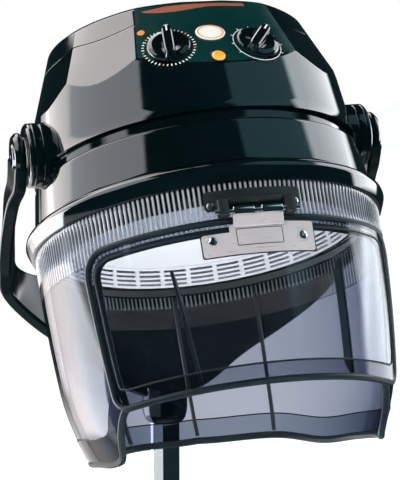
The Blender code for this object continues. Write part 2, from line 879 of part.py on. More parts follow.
def control_panel(hood):
    rings = []
    for standoff in (PANEL_LIFT, PANEL_LIFT + PANEL_THICK):
        for rise in PANEL_RISE[:: 1 if standoff == PANEL_LIFT else -1]:
            row = []
            for i in range(PANEL_COLUMNS + 1):
                span = PANEL_SPAN[0] + (PANEL_SPAN[1] - PANEL_SPAN[0]) * i / PANEL_COLUMNS
                row.append(panel_point(span, rise) + panel_normal(span, rise) * standoff)
            rings.append(row)
    bm = bmesh.new()
    verts = skin(bm, rings, around=False)
    bm.faces.new([row[0] for row in verts])
    bm.faces.new([row[-1] for row in verts][::-1])
    obj = place("control_panel", bm, "panel", hood)
    for name, at, radius in CONTROL_HOLES:
        combine(obj, control_cutter(hood, "panel_" + name, at, radius), "DIFFERENCE")


def rotary_unit(hood, name, at):
    """The can behind a dial, with a socket for the knob's shaft."""
    back = -WALL - UNIT_STANDOFF - GAP
    profile = [
        (UNIT_R, back - UNIT_DEPTH),
        (UNIT_R, back),
    ]
    bm = moved(turned_rod(profile, ROUND_MID), panel_frame(*at, 0.0))
    obj = place(name, bm, "nylon", hood)
    bore = KNOB_SHAFT_R + RUN
    socket = turned_rod([(bore, back - UNIT_DEPTH / 2.0), (bore, 0.0)], ROUND_SMALL)
    combine(obj, helper(name + "_socket", moved(socket, panel_frame(*at, 0.0)), hood), "DIFFERENCE")


def dial_knob(hood, name, at, turn):
    """A round base with a finger bar, and a shaft that reaches into its unit."""
    seat = PANEL_SEAT
    tip = -WALL - UNIT_STANDOFF - UNIT_DEPTH / 2.0 - seat
    profile = [
        (KNOB_SHAFT_R, tip),
        (KNOB_SHAFT_R, UNIT_STANDOFF),
        (KNOB_R, UNIT_STANDOFF),
        (KNOB_R, KNOB_BASE * 0.6),
        (KNOB_R * 0.9, KNOB_BASE),
    ]
    frame = panel_frame(*at, seat) @ Matrix.Rotation(math.radians(turn), 4, "Z")
    obj = place(name, turned_rod(profile, ROUND_MID, math.pi / ROUND_MID), "black_gloss", hood)
    obj.matrix_local = frame
    width, length, height = KNOB_BAR
    bar = box((width, length, height), (0.0, 0.0, KNOB_BASE * 0.5 + height / 2.0))
    edges = [e for e in bar.edges if all(v.co.z > KNOB_BASE for v in e.verts)]
    bmesh.ops.bevel(bar, geom=edges, offset=width * 0.3, segments=2, affect="EDGES", profile=0.5)
    tool = helper(name + "_bar", bar, hood)
    tool.matrix_local = frame
    combine(obj, tool, "UNION")


def pilot_lamp(hood):
    seat = PANEL_SEAT
    profile = [
        (LAMP_STEM_R, -WALL - seat - 0.010),
        (LAMP_STEM_R, GAP),
        (LAMP_R, GAP),
        (LAMP_R, LAMP_HEIGHT * 0.45),
        (LAMP_R * 0.75, LAMP_HEIGHT * 0.85),
        (LAMP_R * 0.3, LAMP_HEIGHT),
    ]
    bm = moved(turned_rod(profile, ROUND_SMALL), panel_frame(*LAMP_PLACE, seat))
    place("pilot_lamp", bm, "orange", hood)


def badge_oval(hood):
    count = ROUND_MID
    outline = []
    for i in range(count):
        turn = 2.0 * math.pi * i / count
        outline.append((BADGE_SIZE[0] / 2.0 * math.cos(turn), BADGE_SIZE[1] / 2.0 * math.sin(turn)))
    seat = PANEL_SEAT + BADGE_STANDOFF
    bm = moved(extruded(outline, 0.0, BADGE_THICK), panel_frame(*BADGE_PLACE, seat))
    place("badge_oval", bm, "cream", hood)


# Skirt and flap


def skirt_radius(level):
    """Outer radius of the smooth skirt wall: almost upright to the waist, then drawn in."""
    if level > SKIRT_WAIST:
        share = (RIM_UNDER - level) / (RIM_UNDER - SKIRT_WAIST)
        return SKIRT_TOP_R + (SKIRT_WAIST_R - SKIRT_TOP_R) * share
    drop = SKIRT_WAIST - level
    return SKIRT_WAIST_R - SKIRT_TAPER * drop - SKIRT_CURVE * drop * drop


def skirt_bottom(azimuth):
    return from_table(HEM_LEVELS, azimuth)


def stitch(bm, first, second):
    """Triangles between two closed rings with different numbers of points, both starting at one angle."""
    i = j = 0
    while i < len(first) or j < len(second):
        step_first = (i + 1) / len(first)
        step_second = (j + 1) / len(second)
        a, b = first[i % len(first)], second[j % len(second)]
        if j == len(second) or (i < len(first) and step_first <= step_second):
            bm.faces.new((a, first[(i + 1) % len(first)], b))
            i += 1
        else:
            bm.faces.new((a, second[(j + 1) % len(second)], b))
            j += 1


def skirt_columns():
    """Azimuths of the skirt's columns; one column lies on each edge of the front opening."""
    rear = SKIRT_COLUMNS - 2 * OPENING_COLUMNS
    span = 360.0 - 2.0 * OPENING_HALF
    front = [-OPENING_HALF + OPENING_HALF * i / OPENING_COLUMNS for i in range(2 * OPENING_COLUMNS)]
    return front + [OPENING_HALF + span * i / rear for i in range(rear)]


def skirt(hood):
    bm = bmesh.new()
    columns = skirt_columns()
    top = RIM_UNDER - GAP
    fluted = [columns[0] + 360.0 * i / (2 * FLUTES) for i in range(2 * FLUTES)]

    def flute_ring(level, depth):
        crest = skirt_radius(level)
        return [
            bm.verts.new(at_azimuth(crest - depth * (i % 2), a, level)) for i, a in enumerate(fluted)
        ]

    rings = [flute_ring(FLUTE_TOP, FLUTE_DEPTH), flute_ring(FLUTE_BOTTOM, FLUTE_DEPTH)]
    count = len(fluted)
    for i in range(count):
        j = (i + 1) % count
        bm.faces.new((rings[0][i], rings[0][j], rings[1][j], rings[1][i]))

    def column_levels(azimuth):
        low = skirt_bottom(azimuth)
        rows = [SKIRT_WAIST, OPENING_TOP]
        rows += [OPENING_TOP + (low - OPENING_TOP) * (i + 1) / SKIRT_ROWS for i in range(SKIRT_ROWS)]
        return rows

    def wall_grid(inward, with_top):
        grid = []
        for azimuth in columns:
            levels = ([top] if with_top else []) + column_levels(azimuth)
            grid.append(
                [bm.verts.new(at_azimuth(skirt_radius(z) - inward, azimuth, z)) for z in levels]
            )
        return grid

    outer = wall_grid(0.0, False)
    inner = wall_grid(SKIRT_WALL, True)
    total = len(columns)
    edge_ring = [bm.verts.new(at_azimuth(skirt_radius(top) - FLUTE_DEPTH, a, top)) for a in columns]
    stitch(bm, edge_ring, rings[0])
    stitch(bm, rings[1], [column[0] for column in outer])
    for i in range(total):
        j = (i + 1) % total
        bm.faces.new((edge_ring[i], edge_ring[j], inner[j][0], inner[i][0]))
        in_opening = i < 2 * OPENING_COLUMNS
        rows = 1 if in_opening else len(outer[i]) - 1
        for row in range(rows):
            bm.faces.new((outer[i][row], outer[j][row], outer[j][row + 1], outer[i][row + 1]))
        for row in range(rows + 1):
            bm.faces.new((inner[i][row], inner[i][row + 1], inner[j][row + 1], inner[j][row]))
        bm.faces.new((outer[i][rows], outer[j][rows], inner[j][rows + 1], inner[i][rows + 1]))
    for i in (0, 2 * OPENING_COLUMNS):
        for row in range(1, len(outer[i]) - 1):
            bm.faces.new((outer[i][row], outer[i][row + 1], inner[i][row + 2], inner[i][row + 1]))
    loose = [v for v in bm.verts if not v.link_faces]
    bmesh.ops.delete(bm, geom=loose, context="VERTS")
    place("skirt", bm, "smoke", hood, sharp=40.0)


def flap_inner_radius(level):
    return skirt_radius(level) + FLAP_CLEAR


def flap_half_angle(level):
    """Half width of the flap in degrees at a level, with all four corners rounded."""
    share = (FLAP_TOP - level) / (FLAP_TOP - FLAP_BOTTOM)
    half = FLAP_HALF_TOP + (FLAP_HALF_BOTTOM - FLAP_HALF_TOP) * share
    cut = corner_cut(FLAP_CORNER, level - FLAP_BOTTOM) + corner_cut(FLAP_SHOULDER, FLAP_TOP - level)
    return half - math.degrees(cut / flap_inner_radius(level))


def corner_cut(radius, away):
    """What a rounded corner takes off a width, at a distance from the edge it ends in."""
    rise = radius - min(radius, max(away, 0.0))
    return radius - math.sqrt(max(0.0, radius**2 - rise**2))


def visor_flap(flap, back):
    high = FLAP_TOP - FLAP_SHOULDER
    low = FLAP_BOTTOM + FLAP_CORNER
    levels = [FLAP_TOP - FLAP_SHOULDER * h for h in (0.0, 0.12, 0.42, 1.0)]
    levels += [high + (low - high) * h for h in (0.33, 0.67)]
    levels += [FLAP_BOTTOM + FLAP_CORNER * h for h in (1.0, 0.3, 0.0)]
    rings = []
    for outer in (False, True):
        rows = []
        for level in levels:
            half = flap_half_angle(level)
            radius = flap_inner_radius(level) + (FLAP_WALL if outer else 0.0)
            azimuths = [half * (2.0 * i / FLAP_COLUMNS - 1.0) for i in range(FLAP_COLUMNS + 1)]
            rows.append([at_azimuth(radius, a, level) + back for a in azimuths])
        rings += rows[::-1] if outer else rows
    bm = bmesh.new()
    verts = skin(bm, rings, around=False)
    count = len(levels)
    for column in (0, -1):
        for row in range(count - 1):
            other = 2 * count - 1 - row
            side = [verts[row], verts[row + 1], verts[other - 1], verts[other]]
            bm.faces.new([ring[column] for ring in side])
    place("visor_flap", bm, "smoke", flap)


def strut_solid(radius_of, azimuth, start, end, depth, back):
    """A narrow strip that follows the inside of a wall from one level to another."""
    steps = 5
    rings = []
    for i in range(steps + 1):
        level = start + (end - start) * i / steps
        outer = radius_of(level) - GAP
        half = math.degrees(STRUT_WIDTH / 2.0 / outer)
        rings.append(
            [
                at_azimuth(outer - RUN, azimuth - half, level) + back,
                at_azimuth(outer - RUN, azimuth + half, level) + back,
                at_azimuth(outer - depth, azimuth + half, level) + back,
                at_azimuth(outer - depth, azimuth - half, level) + back,
            ]
        )
    bm = bmesh.new()
    verts = skin(bm, rings, closed=False)
    bm.faces.new(verts[0])
    bm.faces.new(verts[-1][::-1])
    return bm


def skirt_struts(hood):
    def inside(level):
        return skirt_radius(level) * math.cos(math.pi / SKIRT_COLUMNS) - SKIRT_WALL

    for number, azimuth in enumerate(SKIRT_STRUTS_AT, start=1):
        low = skirt_bottom(azimuth) + SKIRT_WALL
        if azimuth < OPENING_HALF:
            low = OPENING_TOP + SKIRT_WALL
        top = RIM_UNDER - 2.0 * GAP
        bm = strut_solid(inside, azimuth, top, low, STRUT_DEPTH, Vector())
        place(f"skirt_strut_{number}", bm, "black_satin", hood)


def flap_struts(flap, back):
    def inside(level):
        return flap_inner_radius(level) * math.cos(math.radians(FLAP_HALF_TOP / FLAP_COLUMNS))

    for side, azimuth in zip(("left", "right"), FLAP_STRUTS_AT):
        low = FLAP_BOTTOM + FLAP_CORNER
        bm = strut_solid(inside, azimuth, FLAP_STRUT_TOP, low, FLAP_STRUT_DEPTH, back)
        place(f"flap_strut_{side}", bm, "black_satin", flap)


# Visor hinge


def arc_plate(inner, outer, half, low, high, back):
    """A plate bent round the hood's axis."""
    rings = []
    azimuths = [half * (2.0 * i / PLATE_COLUMNS - 1.0) for i in range(PLATE_COLUMNS + 1)]
    for radius, level in ((inner, high), (inner, low), (outer, low), (outer, high)):
        rings.append([at_azimuth(radius, a, level) + back for a in azimuths])
    bm = bmesh.new()
    verts = skin(bm, rings, around=False)
    bm.faces.new([row[0] for row in verts])
    bm.faces.new([row[-1] for row in verts][::-1])
    return bm


BRACKET_BACK = SKIRT_TOP_R + GAP
PLATE_BACK = SKIRT_WAIST_R + FLAP_CLEAR + FLAP_WALL + GAP


def barrel(start, end):
    """A solid barrel round the hinge pin's line between two places across the hood."""
    return along_x(turned_rod([(BARREL_R, start), (BARREL_R, end)], ROUND_SMALL))


def pin_bore(parent, name, location):
    bore = PIN_R + RUN
    bm = along_x(turned_rod([(bore, -2.0 * PIN_HALF), (bore, 2.0 * PIN_HALF)], ROUND_SMALL))
    return helper(name, bm, parent, location)


def hinge_bracket(hood):
    """The fixed leaf over the fluted band, with two barrels at its ends."""
    bm = arc_plate(BRACKET_BACK, BRACKET_BACK + LEAF, BRACKET_HALF, BRACKET_LOW, BRACKET_TOP, Vector())
    obj = place("hinge_bracket", bm, "black_satin", hood)
    axis = (0.0, -HINGE_OUT, HINGE_LEVEL)
    lugs = []
    for side in (-1, 1):
        start, end = sorted((side * LUG_SPAN[0], side * LUG_SPAN[1]))
        lug = barrel(start, end)
        lugs.append(moved(lug, Matrix.Translation(axis)))
    combine(obj, helper("bracket_barrels", joined(lugs), hood), "UNION")
    arms = []
    for side in (-1, 1):
        middle = side * sum(LUG_SPAN) / 2.0
        width = LUG_SPAN[1] - LUG_SPAN[0]
        back = math.sqrt((BRACKET_BACK + LEAF * 0.3) ** 2 - middle**2)
        depth = HINGE_OUT - back
        height = BRACKET_LOW - HINGE_LEVEL + BARREL_R
        centre = (middle, -(HINGE_OUT + back) / 2.0, HINGE_LEVEL + height / 2.0)
        arms.append(box((width, depth, height), centre))
    combine(obj, helper("bracket_arms", joined(arms), hood), "UNION")
    combine(obj, pin_bore(hood, "bracket_bore", axis), "DIFFERENCE")


def hinge_pin(hood):
    bm = along_x(turned_rod([(PIN_R, -PIN_HALF), (PIN_R, PIN_HALF)], ROUND_SMALL))
    place("hinge_pin", bm, "chrome", hood, (0.0, -HINGE_OUT, HINGE_LEVEL))


def hinge_plate(flap, back):
    """The moving leaf on the flap, with the middle barrel of the hinge."""
    bm = arc_plate(PLATE_BACK, PLATE_BACK + LEAF, PLATE_HALF, PLATE_LOW, PLATE_TOP, back)
    obj = place("hinge_plate", bm, "aluminium", flap)
    half = LUG_SPAN[0] - GAP
    combine(obj, helper("plate_barrel", barrel(-half, half), flap), "UNION")
    front = HINGE_OUT + BARREL_R * 0.6
    rear = math.sqrt((PLATE_BACK + GAP) ** 2 - half**2) + 0.002
    centre = (0.0, HINGE_OUT - (front + rear) / 2.0, (PLATE_TOP - LEAF - HINGE_LEVEL) / 2.0)
    web = box((2.0 * half, front - rear, HINGE_LEVEL - PLATE_TOP + LEAF), centre)
    combine(obj, helper("plate_web", web, flap), "UNION")
    combine(obj, pin_bore(flap, "plate_bore", (0, 0, 0)), "DIFFERENCE")


# Pivots and fork


def side_frame(side):
    """Lays a shape drawn about Z along the pivot's axis, outwards on one side."""
    return Matrix.Rotation(side * math.pi / 2.0, 4, "Y")


def pivot_pieces(hood, fork, side, name):
    """The boss on the casing, and the washer, bolt and cap that hold the fork's eye to it."""
    at_hood = (0.0, -PIVOT_FORWARD, PIVOT_ABOVE)
    frame = side_frame(side)
    bore = BOLT_R + RUN
    boss = [
        (bore, BOSS_INNER),
        (BOSS_R - WALL, BOSS_INNER),
        (BOSS_R, BOSS_INNER + WALL),
        (BOSS_R, BOSS_OUTER - WALL),
        (BOSS_R - WALL, BOSS_OUTER),
        (bore, BOSS_OUTER),
    ]
    place(f"pivot_boss_{name}", moved(turned(boss, ROUND_MID), frame), "black_gloss", hood, at_hood)
    inner = BOSS_OUTER + GAP
    wide = BOLT_R + LOOSE
    washer = [
        (wide, inner),
        (WASHER_R, inner),
        (WASHER_R, inner + WASHER_THICK),
        (wide, inner + WASHER_THICK),
    ]
    place(f"friction_washer_{name}", moved(turned(washer, ROUND_SMALL), frame), "nylon", fork)
    head = FORK_SEAT + GAP
    bolt = [
        (BOLT_R, BOLT_INNER),
        (BOLT_R, head),
        (BOLT_HEAD_R, head),
        (BOLT_HEAD_R, head + BOLT_HEAD),
    ]
    place(f"pivot_bolt_{name}", moved(turned_rod(bolt, ROUND_MID), frame), "steel", fork)
    inside = BOLT_HEAD_R + LOOSE
    roof = head + BOLT_HEAD + GAP
    cap = [
        (inside, head),
        (CAP_R, head),
        (CAP_R, head + CAP_HEIGHT * 0.7),
        (CAP_R * 0.8, head + CAP_HEIGHT),
        (CAP_R * 0.1, head + CAP_HEIGHT),
        (CAP_R * 0.1, roof),
        (inside, roof),
    ]
    place(f"pivot_cap_{name}", moved(turned(cap, ROUND_SMALL), frame), "black_gloss", fork)


def fork_edges():
    """Rear and front edge of one half of the fork, from the eye round to the middle of the back.

    Places are from the pivot: sideways, behind and up.
    """
    eye = FORK_EYE
    wide = FORK_MID + FORK_FLARE
    rows = []
    for across, up in ((0.35, 1.0), (0.78, 0.62), (1.0, 0.0), (1.0, -1.35)):
        rows.append(((FORK_MID, eye * across, eye * up), (FORK_MID, -eye * across, eye * up)))
    for share, rear, front in FORK_SWEEP:
        rows.append(((wide * share, *rear), (wide * share, *front)))
    middle = (POLE_BEHIND, HUB_LOW + HUB_R)
    rows.append(((0.0, *FORK_SWEEP[-1][1]), (0.0, *middle)))
    return rows


def fork_shell(pivot):
    half = []
    for rear, front in fork_edges():
        shares = [i / FORK_ACROSS for i in range(FORK_ACROSS + 1)]
        half.append([Vector(rear).lerp(Vector(front), share) for share in shares])
    mirrored = [[Vector((-p.x, p.y, p.z)) for p in row] for row in half[:-1]]
    bm = bmesh.new()
    skin(bm, half + mirrored[::-1], closed=False, around=False)
    obj = place("fork", bm, "black_gloss", pivot, sharp=40.0)
    thick = obj.modifiers.new("thickness", "SOLIDIFY")
    thick.thickness = FORK_THICK
    thick.offset = 0.0
    thick.use_even_offset = True
    edge = obj.modifiers.new("rounded_edge", "BEVEL")
    edge.width = FORK_EDGE
    edge.segments = 1
    edge.limit_method = "ANGLE"
    edge.angle_limit = math.radians(60.0)
    return obj


def fork(pivot):
    obj = fork_shell(pivot)
    hub = [
        (HUB_R * 0.9, HUB_LOW),
        (HUB_R, HUB_LOW + 0.004),
        (HUB_R, HUB_HIGH - 0.006),
        (HUB_R * 0.8, HUB_HIGH),
    ]
    at_pole = (0.0, POLE_BEHIND, 0.0)
    combine(obj, helper("fork_hub", turned_rod(hub, ROUND_MID), pivot, at_pole), "UNION")
    bore_r = POLE_R + LOOSE + BUSH_WALL + GAP
    bore = turned_rod([(bore_r, HUB_LOW - 0.01), (bore_r, HUB_BORE_TOP)], ROUND_MID)
    combine(obj, helper("hub_bore", bore, pivot, at_pole), "DIFFERENCE")
    eye_r = BOLT_R + RUN
    eyes = along_x(turned_rod([(eye_r, -FORK_MID * 1.2), (eye_r, FORK_MID * 1.2)], ROUND_MID))
    combine(obj, helper("fork_eyes", eyes, pivot), "DIFFERENCE")
    sinks = []
    for side in (-1, 1):
        sink = turned_rod([(CAP_R + GAP, FORK_SEAT), (CAP_R + GAP, FORK_SEAT + 2.0 * CAP_SINK)], ROUND_MID)
        sinks.append(moved(sink, side_frame(side)))
    combine(obj, helper("cap_sinks", joined(sinks), pivot), "DIFFERENCE")


def swivel_bush(pivot):
    inner = POLE_R + LOOSE
    low = HUB_LOW
    profile = [
        (inner, low + SWIVEL_BUSH_LENGTH),
        (inner, low),
        (inner + BUSH_WALL, low),
        (inner + BUSH_WALL, low + SWIVEL_BUSH_LENGTH),
    ]
    place("swivel_bush", turned(profile, ROUND_MID), "nylon", pivot, (0.0, POLE_BEHIND, 0.0))


# Stand


def pole(axis):
    top = PIVOT_HEIGHT + HUB_BORE_TOP - GAP
    inner = POLE_R - POLE_WALL
    profile = [(inner, top), (inner, top - POLE_LENGTH), (POLE_R, top - POLE_LENGTH), (POLE_R, top)]
    place("pole", turned(profile, ROUND_MID), "chrome", axis)
    outer = TUBE_R - TUBE_WALL - GAP
    low = top - POLE_LENGTH
    guide = [
        (POLE_R + GAP, low + GUIDE_LENGTH),
        (POLE_R + GAP, low),
        (outer, low),
        (outer, low + GUIDE_LENGTH),
    ]
    place("pole_guide", turned(guide, ROUND_MID), "nylon", axis)


def tube_level():
    return STAR_LOW + STAR_FLOOR + GAP


def clamp_level():
    return TUBE_TOP - CLAMP_DROP


def clamp_hole(axis, name):
    radius = CLAMP_STEM_R + GAP
    rod = turned_rod([(radius, POLE_R + BUSH_WALL / 2.0), (radius, COLLAR_R * 1.5)], ROUND_SMALL)
    bm = along_x(rod)
    return helper(name, bm, axis, (0.0, 0.0, clamp_level()))


def lower_tube(axis):
    inner = TUBE_R - TUBE_WALL
    low = tube_level()
    profile = [(inner, TUBE_TOP), (inner, low), (TUBE_R, low), (TUBE_R, TUBE_TOP)]
    obj = place("lower_tube", turned(profile, ROUND_MID), "black_gloss", axis)
    combine(obj, clamp_hole(axis, "tube_clamp_hole"), "DIFFERENCE")


def tube_bush(axis):
    outer = TUBE_R - TUBE_WALL - GAP
    low = TUBE_TOP - TUBE_BUSH_LENGTH
    inner = POLE_R + GAP
    profile = [(inner, TUBE_TOP), (inner, low), (outer, low), (outer, TUBE_TOP)]
    place("tube_bush", turned(profile, ROUND_MID), "nylon", axis)


def clamp_collar(axis):
    inner = TUBE_R + GAP
    ledge = TUBE_TOP + GAP
    top = ledge + COLLAR_LIP
    neck = POLE_R + LOOSE
    profile = [
        (inner, ledge),
        (inner, TUBE_TOP - COLLAR_HEIGHT),
        (COLLAR_R, TUBE_TOP - COLLAR_HEIGHT),
        (COLLAR_R, top - COLLAR_LIP / 2.0),
        (COLLAR_R - COLLAR_LIP / 2.0, top),
        (neck, top),
        (neck, ledge),
    ]
    obj = place("clamp_collar", turned(profile, ROUND_MID), "black_satin", axis)
    combine(obj, clamp_hole(axis, "collar_clamp_hole"), "DIFFERENCE")


def clamp_knob(axis):
    """A lobed hand knob on a screw that presses the bush against the pole."""
    points = CLAMP_LOBES * 4
    outline = []
    for i in range(points):
        turn = 2.0 * math.pi * i / points
        radius = CLAMP_KNOB_R * (1.0 + 0.10 * math.cos(CLAMP_LOBES * turn))
        outline.append((radius * math.cos(turn), radius * math.sin(turn)))
    start = COLLAR_R + CLAMP_NECK
    grip = along_x(extruded(outline, start, start + CLAMP_KNOB_WIDTH))
    at = (0.0, 0.0, clamp_level())
    obj = place("clamp_knob", grip, "black_satin", axis, at)
    tip = TUBE_R - TUBE_WALL + GAP
    neck_r = 2.2 * CLAMP_STEM_R
    stem = [
        (CLAMP_STEM_R, tip),
        (CLAMP_STEM_R, COLLAR_R + GAP),
        (neck_r, COLLAR_R + GAP),
        (neck_r, start + CLAMP_KNOB_WIDTH / 2.0),
    ]
    combine(obj, helper("clamp_stem", along_x(turned_rod(stem, ROUND_SMALL)), axis, at), "UNION")


def leg_angle(index):
    """Legs are evenly spread, with the first one pointing to the front."""
    return -math.pi / 2.0 + 2.0 * math.pi * index / LEG_COUNT


def leg_solid():
    """One sloping, tapering leg along X with a round socket at its end."""
    rings = []
    stations = 5
    for i in range(stations):
        share = i / (stations - 1.0)
        reach = STAR_HUB_R * 0.4 + (LEG_REACH - STAR_HUB_R * 0.4) * share
        width = LEG_WIDTH[0] + (LEG_WIDTH[1] - LEG_WIDTH[0]) * share
        height = LEG_HEIGHT[0] + (LEG_HEIGHT[1] - LEG_HEIGHT[0]) * share
        end_top = LEG_END_LOW + LEG_HEIGHT[1]
        arch = share * share * (3.0 - 2.0 * share)
        top = STAR_HIGH - 0.004 + (end_top - STAR_HIGH + 0.004) * arch
        chamfer = width * 0.28
        plan = [(-width / 2, top - height), (width / 2, top - height), (width / 2, top - chamfer)]
        plan += [(width / 2 - chamfer, top), (chamfer - width / 2, top), (-width / 2, top - chamfer)]
        rings.append([(reach, y, z) for y, z in plan])
    bm = bmesh.new()
    verts = skin(bm, rings, closed=False)
    bm.faces.new(verts[0][::-1])
    bm.faces.new(verts[-1])
    return bm


def base_star(axis):
    hub = [(STAR_HUB_R, STAR_LOW), (STAR_HUB_R, STAR_HIGH)]
    obj = place("base_star", turned_rod(hub, ROUND_MID), "black_gloss", axis)
    socket_r = STEM_R + RUN
    for index in range(LEG_COUNT):
        turn = (0.0, 0.0, leg_angle(index))
        combine(obj, helper(f"leg_{index}", leg_solid(), axis, rotation=turn), "UNION")
        end = [
            (LEG_WIDTH[1] / 2.0, LEG_END_LOW + GAP),
            (LEG_WIDTH[1] / 2.0 - GAP, LEG_END_LOW + LEG_HEIGHT[1] * 0.68),
            (LEG_WIDTH[1] * 0.3, LEG_END_LOW + LEG_HEIGHT[1] * 0.97),
        ]
        tip = turned_rod(end, ROUND_SMALL, math.pi / ROUND_SMALL)
        moved(tip, Matrix.Translation((LEG_REACH, 0, 0)))
        combine(obj, helper(f"leg_end_{index}", tip, axis, rotation=turn), "UNION")
    sockets = []
    for index in range(LEG_COUNT):
        hole = turned_rod([(socket_r, 0.0), (socket_r, LEG_END_LOW + SOCKET_DEPTH)], ROUND_SMALL)
        angle = leg_angle(index)
        at = Matrix.Translation((LEG_REACH * math.cos(angle), LEG_REACH * math.sin(angle), 0.0))
        sockets.append(moved(hole, at))
    combine(obj, helper("stem_sockets", joined(sockets), axis), "DIFFERENCE")
    bore_r = TUBE_R + GAP
    bore = turned_rod([(bore_r, tube_level() - GAP), (bore_r, STAR_HIGH * 2.0)], ROUND_MID)
    combine(obj, helper("tube_socket", bore, axis), "DIFFERENCE")


def base_cover(axis):
    low = STAR_HIGH + GAP
    inner = TUBE_R + GAP
    profile = [
        (inner, low + COVER_HEIGHT),
        (inner, low),
        (STAR_HUB_R, low),
        (STAR_HUB_R * 0.97, low + COVER_HEIGHT * 0.25),
        (inner + (STAR_HUB_R - inner) * 0.45, low + COVER_HEIGHT * 0.6),
        (inner + 0.002, low + COVER_HEIGHT),
    ]
    place("base_cover", turned(profile, ROUND_MID), "black_satin", axis)


# Castors


def castor_hood():
    """Fender and centre web of a twin-wheel castor: a T section swept round the axle."""
    inner = AXLE_R + RUN
    under = WHEEL_CORNER_R + FENDER_CLEAR
    outer = under + FENDER_THICK
    half = WHEEL_SPACE / 2.0 + WHEEL_WIDTH
    web = WEB_THICK / 2.0
    section = [(inner, -web), (under, -web), (under, -half), (outer, -half)]
    section += [(r, -y) for r, y in section[::-1]]
    rings = []
    for i in range(CASTOR_STEPS + 1):
        turn = math.radians(FENDER_FROM + (FENDER_TO - FENDER_FROM) * i / CASTOR_STEPS)
        rings.append([(TRAIL + r * math.cos(turn), y, WHEEL_R + r * math.sin(turn)) for r, y in section])
    bm = bmesh.new()
    verts = skin(bm, rings, closed=False)
    bm.faces.new(verts[0])
    bm.faces.new(verts[-1][::-1])
    return bm


def castor_stem():
    return turned_rod(
        [
            (STEM_R, STEM_LOW),
            (STEM_R, LEG_END_LOW + SOCKET_DEPTH - GAP),
        ],
        ROUND_SMALL,
    )


def castors(axis):
    spool = [
        (WHEEL_CORNER_R, -WHEEL_SPACE / 2.0 - WHEEL_WIDTH),
        (WHEEL_CORNER_R, -WHEEL_SPACE / 2.0),
        (AXLE_R, -WHEEL_SPACE / 2.0),
    ]
    spool += [(r, -y) for r, y in spool[::-1]]
    lay = Matrix.Rotation(math.pi / 2.0, 4, "X")
    for index in range(LEG_COUNT):
        number = index + 1
        angle = leg_angle(index)
        at = (LEG_REACH * math.cos(angle), LEG_REACH * math.sin(angle), 0.0)
        outward = math.pi if at[0] < -GAP else 0.0
        swivel = empty(f"castor_swivel_{number}", axis, at, (0.0, 0.0, outward))
        housing = place(f"castor_housing_{number}", castor_hood(), "black_satin", swivel)
        combine(housing, helper(f"castor_stem_{number}", castor_stem(), swivel), "UNION")
        wheels = moved(turned_rod(spool, WHEEL_SIDES, math.pi / WHEEL_SIDES), lay)
        place(f"castor_wheels_{number}", wheels, "tyre", swivel, (TRAIL, 0.0, WHEEL_R), sharp=30.0)


def pole_place():
    """Where the pole stands along Y, so that the floor's origin is in the middle of the object's box."""
    hem_r = flap_inner_radius(FLAP_BOTTOM) + FLAP_WALL
    forward = (hem_r - PIVOT_FORWARD) * math.cos(TILT)
    front = POLE_BEHIND + forward + (PIVOT_ABOVE - FLAP_BOTTOM) * math.sin(TILT)
    rear = LEG_REACH * math.cos(math.pi / LEG_COUNT) + WHEEL_SPACE / 2.0 + WHEEL_WIDTH
    return (front - rear) / 2.0


def build_stand():
    axis = empty("stand_axis", location=(0.0, pole_place(), 0.0))
    base_star(axis)
    base_cover(axis)
    castors(axis)
    lower_tube(axis)
    tube_bush(axis)
    clamp_collar(axis)
    clamp_knob(axis)
    pole(axis)


def build_hood():
    place_y = pole_place() - POLE_BEHIND
    pivot = empty("fork_pivot", location=(0.0, place_y, PIVOT_HEIGHT))
    fork(pivot)
    swivel_bush(pivot)
    tilt = empty("hood_tilt", location=(0.0, place_y, PIVOT_HEIGHT), rotation=(-TILT, 0.0, 0.0))
    hood = empty("hood_axis", tilt, (0.0, PIVOT_FORWARD, -PIVOT_ABOVE))
    for side, name in ((-1, "left"), (1, "right")):
        pivot_pieces(hood, pivot, side, name)
    for piece in (upper_casing, lower_casing, cable_gland, rim_ring, air_ring, inner_dome):
        piece(hood)
    for piece in (motor_bracket, terminal_block, fan_motor, impeller):
        piece(hood)
    for piece in (heater_frame, heater_element, thermal_cutout):
        piece(hood)
    for piece in (control_panel, pilot_lamp, badge_oval, skirt, skirt_struts):
        piece(hood)
    rotary_unit(hood, "timer_unit", DIALS["timer"])
    rotary_unit(hood, "heat_switch", DIALS["heat"])
    dial_knob(hood, "timer_knob", DIALS["timer"], 0.0)
    dial_knob(hood, "heat_knob", DIALS["heat"], -40.0)
    hinge_bracket(hood)
    hinge_pin(hood)
    flap = empty("flap_hinge", hood, (0.0, -HINGE_OUT, HINGE_LEVEL))
    back = Vector((0.0, HINGE_OUT, -HINGE_LEVEL))
    visor_flap(flap, back)
    flap_struts(flap, back)
    hinge_plate(flap, back)


def main():
    clear_scene()
    build_stand()
    build_hood()


main()
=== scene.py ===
"""Looks of the standing hood dryer: fine shells, smoked skirt and visor, printed dials, finishes and light.

Metres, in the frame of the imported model. Hood pieces are drawn around the hood's own axis, with height zero
at the rim and the front towards -Y, and are then laid into the tilted hood. Angles are in degrees, apart
from the hood's tilt, the camera's two turns and the lean of the hinge leaf, which are in radians.
"""

import json
import math

import bmesh
import bpy
from mathutils import Matrix, Vector


